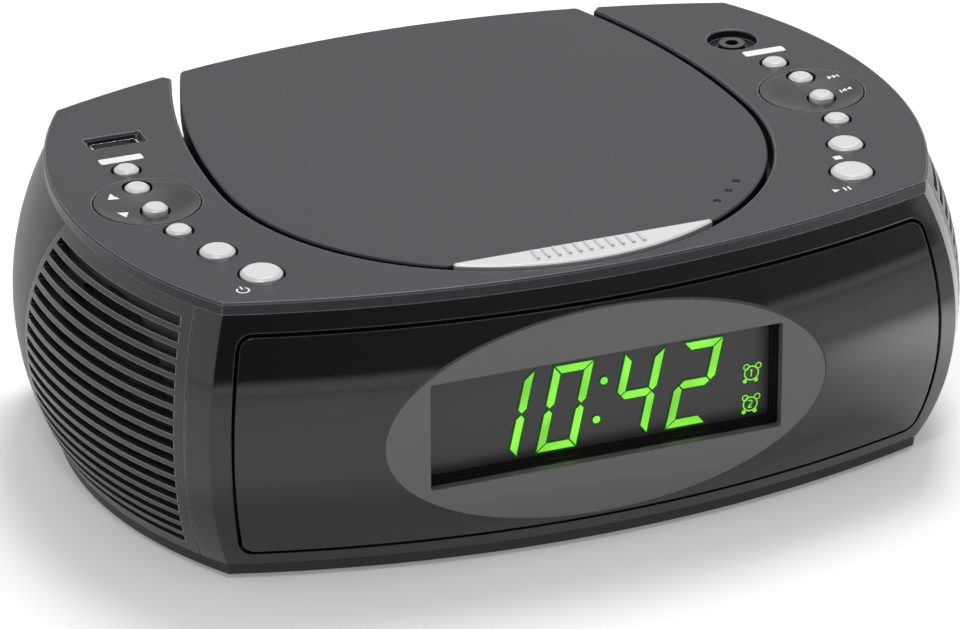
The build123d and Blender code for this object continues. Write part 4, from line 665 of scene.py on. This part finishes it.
# Push buttons: silver-painted caps with a broad chamfer, each held in by a flange and
# carried on a stem. The panel's holes have a small moulded collar that lies flush.
# Rows: names left and right, place, and the widths of cap, hole and the frame's hole.
CAPS = (
    (("alarm_one", "alarm_two"), 95.3, 19.2, 6.8, 8.4, 9.2),
    (("clock", "mode"), 95.2, -22.0, 6.8, 8.4, 9.2),
    (("source", "sleep"), 90.3, -38.2, 9.5, 10.9, 12.4),
    (("power", "play"), 84.3, -55.05, 11.3, 12.7, 13.9),
)
DISH_CAPS = (
    ("volume_up", -96.2, 8.05, TOP + 0.45),
    ("volume_down", -95.6, -4.6, TOP - 0.1),
    ("tune_up", 98.2, 8.0, TOP + 0.45),
    ("tune_down", 98.9, -4.2, TOP - 0.1),
)
CAP_PROUD = 0.95
CAP_CHAMFER = 0.75
CAP_SHOULDER = (0.1, 0.8)
CAP_CREST = (1.15, 0.08)
CAP_FLANGE = 0.9
FLANGE_THICK = 1.0
FLANGE_TOP = TOP - 2.7
DISH_CAP = 6.8
DISH_HOLE = 8.4
DISH_FLANGE_TOP = TOP - 4.2
STEM = 1.5
STEM_LOW = TOP - 6.2
COLLAR_RIM = 0.6
COLLAR_BEVEL = (0.14, 0.12)
COLLAR_THIN = 0.05
COLLAR_SEAT = 0.4
COLLAR_FIT = 0.02
COLLAR_DEEP = 2.3
COLLAR_PROUD = 0.02
TURN_STEPS = 56
SILVER_COLOUR = (0.60, 0.60, 0.61)
collar_skin = moulded("charcoal_collar", TOP_COLOUR, TOP_ROUGHNESS, edge=0.0, **TOP_GRAIN)
silver = moulded(
    "silver_paint", SILVER_COLOUR, roughness=0.33, depth=0.10, scale=3200.0, drift=0.04, edge=0.1,
    metallic=0.55,
)


def lathe(profile, centre, steps=TURN_STEPS):
    """Closed solid turned about an upright axis from (radius, height) points."""
    shape = bmesh.new()
    ring = [shape.verts.new((radius * MM, 0, height * MM)) for radius, height in profile]
    lines = [shape.edges.new(pair) for pair in zip(ring, ring[1:])]
    bmesh.ops.spin(
        shape, geom=ring + lines, cent=(0, 0, 0), axis=(0, 0, 1), dvec=(0, 0, 0),
        angle=2 * math.pi, steps=steps, use_merge=True, use_duplicate=False,
    )
    bmesh.ops.remove_doubles(shape, verts=shape.verts, dist=MERGE)
    bmesh.ops.recalc_face_normals(shape, faces=shape.faces)
    bmesh.ops.translate(shape, vec=(centre[0] * MM, centre[1] * MM, 0), verts=shape.verts)
    return shape


def cap_profile(radius, top, flange_radius, flange_top):
    """Outline of a button from its stem's foot to the middle of its face."""
    return (
        (0, STEM_LOW),
        (STEM, STEM_LOW),
        (STEM, flange_top - FLANGE_THICK),
        (flange_radius, flange_top - FLANGE_THICK),
        (flange_radius, flange_top),
        (radius, flange_top),
        (radius, top - CAP_CHAMFER),
        (radius - CAP_SHOULDER[0], top - CAP_CHAMFER * CAP_SHOULDER[1]),
        (radius - CAP_CHAMFER, top - CAP_CREST[1]),
        (radius - CAP_CHAMFER * CAP_CREST[0], top),
        (0, top),
    )


def collar_profile(inner, wall):
    """Outline of a collar between a button's hole and the wall of the frame's hole."""
    return (
        (inner, TOP - COLLAR_DEEP),
        (inner, TOP - COLLAR_BEVEL[1]),
        (inner + COLLAR_BEVEL[0], TOP + COLLAR_PROUD),
        (wall + COLLAR_RIM, TOP + COLLAR_PROUD),
        (wall + COLLAR_RIM, TOP - COLLAR_THIN),
        (wall - COLLAR_FIT, TOP - COLLAR_SEAT),
        (wall - COLLAR_FIT, TOP - COLLAR_DEEP),
        (inner, TOP - COLLAR_DEEP),
    )


def add_cap(name, profile, centre):
    """Turned cap in place of a button's simple shape."""
    piece = new_piece(
        f"cap_{name}", lathe(profile, centre), silver, f"{name}_button"
    )
    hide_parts(f"button_{name}")


for names, x, y, cap, hole, frame_hole in CAPS:
    flange = frame_hole / 2 + CAP_FLANGE
    for name, side in zip(names, (-1, 1)):
        add_cap(name, cap_profile(cap / 2, TOP + CAP_PROUD, flange, FLANGE_TOP), (side * x, y))
        collar = lathe(collar_profile(hole / 2, frame_hole / 2), (side * x, y))
        new_piece(f"collar_{name}", collar, collar_skin)

for name, x, y, top in DISH_CAPS:
    flange = DISH_HOLE / 2 + CAP_FLANGE
    add_cap(name, cap_profile(DISH_CAP / 2, top, flange, DISH_FLANGE_TOP), (x, y))


# Control dishes: dark bowls let into the panel, deeper towards the front, each with two
# round holes for its buttons
DISH_X = 96.9
DISH_Y = -2.0
DISH_RADIUS = 14.25
DISH_RIM = 0.5
DISH_INNER = DISH_RADIUS - DISH_RIM
DISH_LIP = 0.12
DISH_DEPTH = 1.7
DISH_TILT = 0.11
DISH_FLOOR = 3.9
DISH_RINGS = 14
DISH_STEPS = 72
DISH_COLOUR = (0.008, 0.008, 0.010)
SAME_HEIGHT = 0.01
HOLE_DEPTH = 30
# The dishes' edges carry a painted highlight.
dish_skin = moulded(
    "dish_gloss", DISH_COLOUR, roughness=0.34, depth=0.0, drift=0.05, edge=0.35, edge_highlight=0.35, ior=1.42
)


def dish_height(x, y):
    """Height of the bowl's surface, x taken from the dish's middle."""
    share = min(1.0, math.hypot(x, y - DISH_Y) / DISH_INNER)
    return TOP - DISH_DEPTH * (1 - share**2) + DISH_TILT * (y - DISH_Y) * (1 - share**4)


def cut_hole(piece, x, y):
    """Cuts a button's round hole through a dish."""
    radius = DISH_HOLE / 2 * MM
    shape = bmesh.new()
    bmesh.ops.create_cone(
        shape, cap_ends=True, segments=TURN_STEPS, radius1=radius, radius2=radius, depth=HOLE_DEPTH * MM
    )
    bmesh.ops.translate(shape, vec=(x * MM, y * MM, TOP * MM), verts=shape.verts)
    mesh = bpy.data.meshes.new("hole_tool")
    shape.to_mesh(mesh)
    shape.free()
    tool = bpy.data.objects.new("hole_tool", mesh)
    bpy.context.scene.collection.objects.link(tool)
    cut = piece.modifiers.new("hole", "BOOLEAN")
    cut.operation = "DIFFERENCE"
    cut.solver = "EXACT"
    cut.object = tool
    bpy.context.view_layer.update()
    ready = piece.evaluated_get(bpy.context.evaluated_depsgraph_get())
    ready = bpy.data.meshes.new_from_object(ready)
    piece.modifiers.clear()
    piece.data = ready
    bpy.data.objects.remove(tool)


for side_name, side in zip(SIDES, (-1, 1)):
    profile = [
        (0, TOP - DISH_FLOOR),
        (DISH_RADIUS, TOP - DISH_FLOOR),
        (DISH_RADIUS, TOP - DISH_LIP),
        (DISH_RADIUS - DISH_LIP, TOP),
    ]
    for number in range(DISH_RINGS + 1):
        profile.append((DISH_INNER * (1 - number / DISH_RINGS), TOP - DISH_DEPTH))
    bowl = lathe(profile, (side * DISH_X, DISH_Y), DISH_STEPS)
    for vertex in bowl.verts:
        x, y, z = [value / MM for value in vertex.co]
        if abs(z - (TOP - DISH_DEPTH)) < SAME_HEIGHT:
            vertex.co.z = dish_height(x - side * DISH_X, y) * MM
    dish = new_piece(f"dish_{side_name}", bowl, dish_skin)
    for _, x, y, _ in DISH_CAPS:
        if x * side > 0:
            cut_hole(dish, x, y)
    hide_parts(f"control_dish_{side_name}")


# Printing: plain white marks beside the buttons, pad-printed and thin enough to read as
# ink. The plates beside the alarm buttons stay blank.
INK = 0.03
INK_COLOUR = (0.78, 0.78, 0.78)
VOLUME_X = -104.3
VOLUME_MARKS = ((1, 4.9), (-1, -4.6))
VOLUME_HALF = 1.7
VOLUME_BACK = 1.3
VOLUME_TIP = 1.7
SKIP_MARKS = ((1, 106.3, 4.7), (-1, 106.9, -3.1))
SKIP_HALF = (0.7, 0.85)
SKIP_STEP = 0.75
SKIP_END = 1.65
SKIP_LINE = 0.35
INK_MERGE = 1e-7
STOP = (84.7, -45.3, 2.3, 2.2)
PLAY = ((74.6, -65.4), (76.6, -64.3), (74.6, -63.2))
PAUSE = ((78.0, -64.3, 0.55, 2.1), (79.3, -64.3, 0.55, 2.1))
POWER_CENTRE = (-92.2, -62.6)
POWER_RING = (1.35, 1.85)
POWER_START = 128
POWER_SWEEP = 284
POWER_STEPS = 20
POWER_BAR = (-92.2, -61.2, 0.5, 2.0)
PLATES = ((-94.3, 26.4), (95.9, 27.6))
PLATE_HALF = (5.5, 1.1)
PLATE_CORNER = 0.6
ink = moulded("white_ink", INK_COLOUR, roughness=0.5, depth=0.05, edge=0.0)


def print_mark(shape, points):
    """Flat mark on the top from its corners, which follow the dishes' surface."""
    corners = []
    for x, y in points:
        height = TOP
        if math.hypot(abs(x) - DISH_X, y - DISH_Y) < DISH_INNER:
            height = dish_height(abs(x) - DISH_X, y)
        corners.append(shape.verts.new((x * MM, y * MM, (height + INK) * MM)))
    face = shape.faces.new(corners)
    face.normal_update()
    if face.normal.z < 0:
        face.normal_flip()


def print_bar(shape, x, y, width, height):
    """Rectangle about its middle."""
    left, right = x - width / 2, x + width / 2
    near, far = y - height / 2, y + height / 2
    print_mark(shape, ((left, near), (right, near), (right, far), (left, far)))


prints = bmesh.new()
for direction, y in VOLUME_MARKS:
    base = y - direction * VOLUME_BACK
    print_mark(prints, (
        (VOLUME_X - VOLUME_HALF, base),
        (VOLUME_X + VOLUME_HALF, base),
        (VOLUME_X, y + direction * VOLUME_TIP),
    ))
for direction, x, y in SKIP_MARKS:
    for shift in (-SKIP_STEP, SKIP_STEP):
        base = x + shift - direction * SKIP_HALF[0]
        tip = x + shift + direction * SKIP_HALF[0]
        print_mark(prints, ((base, y - SKIP_HALF[1]), (tip, y), (base, y + SKIP_HALF[1])))
    print_bar(prints, x + direction * SKIP_END, y, SKIP_LINE, 2 * SKIP_HALF[1])
print_bar(prints, *STOP)
print_mark(prints, PLAY)
for bar in PAUSE:
    print_bar(prints, *bar)
inner, outer = POWER_RING
for step in range(POWER_STEPS):
    first, last = [
        math.radians(POWER_START + POWER_SWEEP * number / POWER_STEPS) for number in (step, step + 1)
    ]
    print_mark(prints, [
        (POWER_CENTRE[0] + radius * math.cos(angle), POWER_CENTRE[1] + radius * math.sin(angle))
        for radius, angle in ((inner, first), (outer, first), (outer, last), (inner, last))
    ])
print_bar(prints, *POWER_BAR)
for x, y in PLATES:
    corners = []
    for across, up, start_angle in ((1, -1, -90), (1, 1, 0), (-1, 1, 90), (-1, -1, 180)):
        for turn in (0, 30, 60, 90):
            angle = math.radians(start_angle + turn)
            corners.append((
                x + across * PLATE_HALF[0] + PLATE_CORNER * math.cos(angle),
                y + up * PLATE_HALF[1] + PLATE_CORNER * math.sin(angle),
            ))
    print_mark(prints, corners)
bmesh.ops.remove_doubles(prints, verts=prints.verts, dist=INK_MERGE)
new_piece("top_prints", prints, ink)


# Snooze bar: one long silver-painted key with grip ribs, in front of the lid. It is
# pressed straight down onto its switch.
finish(silver, "snooze_bar")
finish(inner_black, "snooze_switch")


# Sockets in the top: a data socket with a folded steel shell, and a headphone jack with
# a moulded collar. The mains inlet is in the back wall.
SOCKET_COLOUR = (0.66, 0.66, 0.67)
JACK_COLOUR = (0.007, 0.007, 0.007)
socket_steel = moulded("socket_steel", SOCKET_COLOUR, roughness=0.2, depth=0.03, edge=0.12, metallic=1.0)
finish(socket_steel, "usb_socket")
finish(inner_black, "usb_tongue")
finish(moulded("jack_black", JACK_COLOUR, roughness=0.3, edge=0.2), "phone_jack", "power_inlet")


# Disc well under the lid: a black deck with the hub, the pickup on its two steel rods, its
# gear and its motors. The steel chassis is held in four rubber bushes. The lid's hinge
# pins are of the same polished steel as the rods.
WELL_COLOUR = (0.009, 0.009, 0.009)
POLISHED_COLOUR = (0.75, 0.75, 0.76)
GEAR_COLOUR = (0.72, 0.72, 0.68)
GLASS_COLOUR = (0.10, 0.12, 0.22)
well_black = moulded("well_black", WELL_COLOUR, roughness=0.42, depth=0.25)
finish(well_black, "cd_well", "disc_hub", "pickup_sled")
finish(steel, "mechanism_chassis", "spindle_motor", "sled_motor")
finish(rubber, "damper_bushes")
polished = moulded("polished_steel", POLISHED_COLOUR, roughness=0.12, depth=0.0, edge=0.1, metallic=1.0)
finish(polished, "hinge_pins", "guide_rods", "hub_balls")
finish(moulded("gear_plastic", GEAR_COLOUR, roughness=0.4, edge=0.1), "sled_gear")
finish(moulded("pickup_glass", GLASS_COLOUR, roughness=0.05, depth=0.0, edge=0.0, coat=0.5), "pickup_lens")


# Circuit boards: green solder mask over glass fibre, with a faint weave in the gloss, and
# the steel-clad mains transformer beside them
BOARD_COLOUR = (0.012, 0.075, 0.03)
board_green = moulded("solder_mask", BOARD_COLOUR, roughness=0.3, depth=0.3, scale=1100.0, edge=0.1)
finish(board_green, "main_board", "display_board", "button_board_left", "button_board_right")
finish(steel, "transformer")
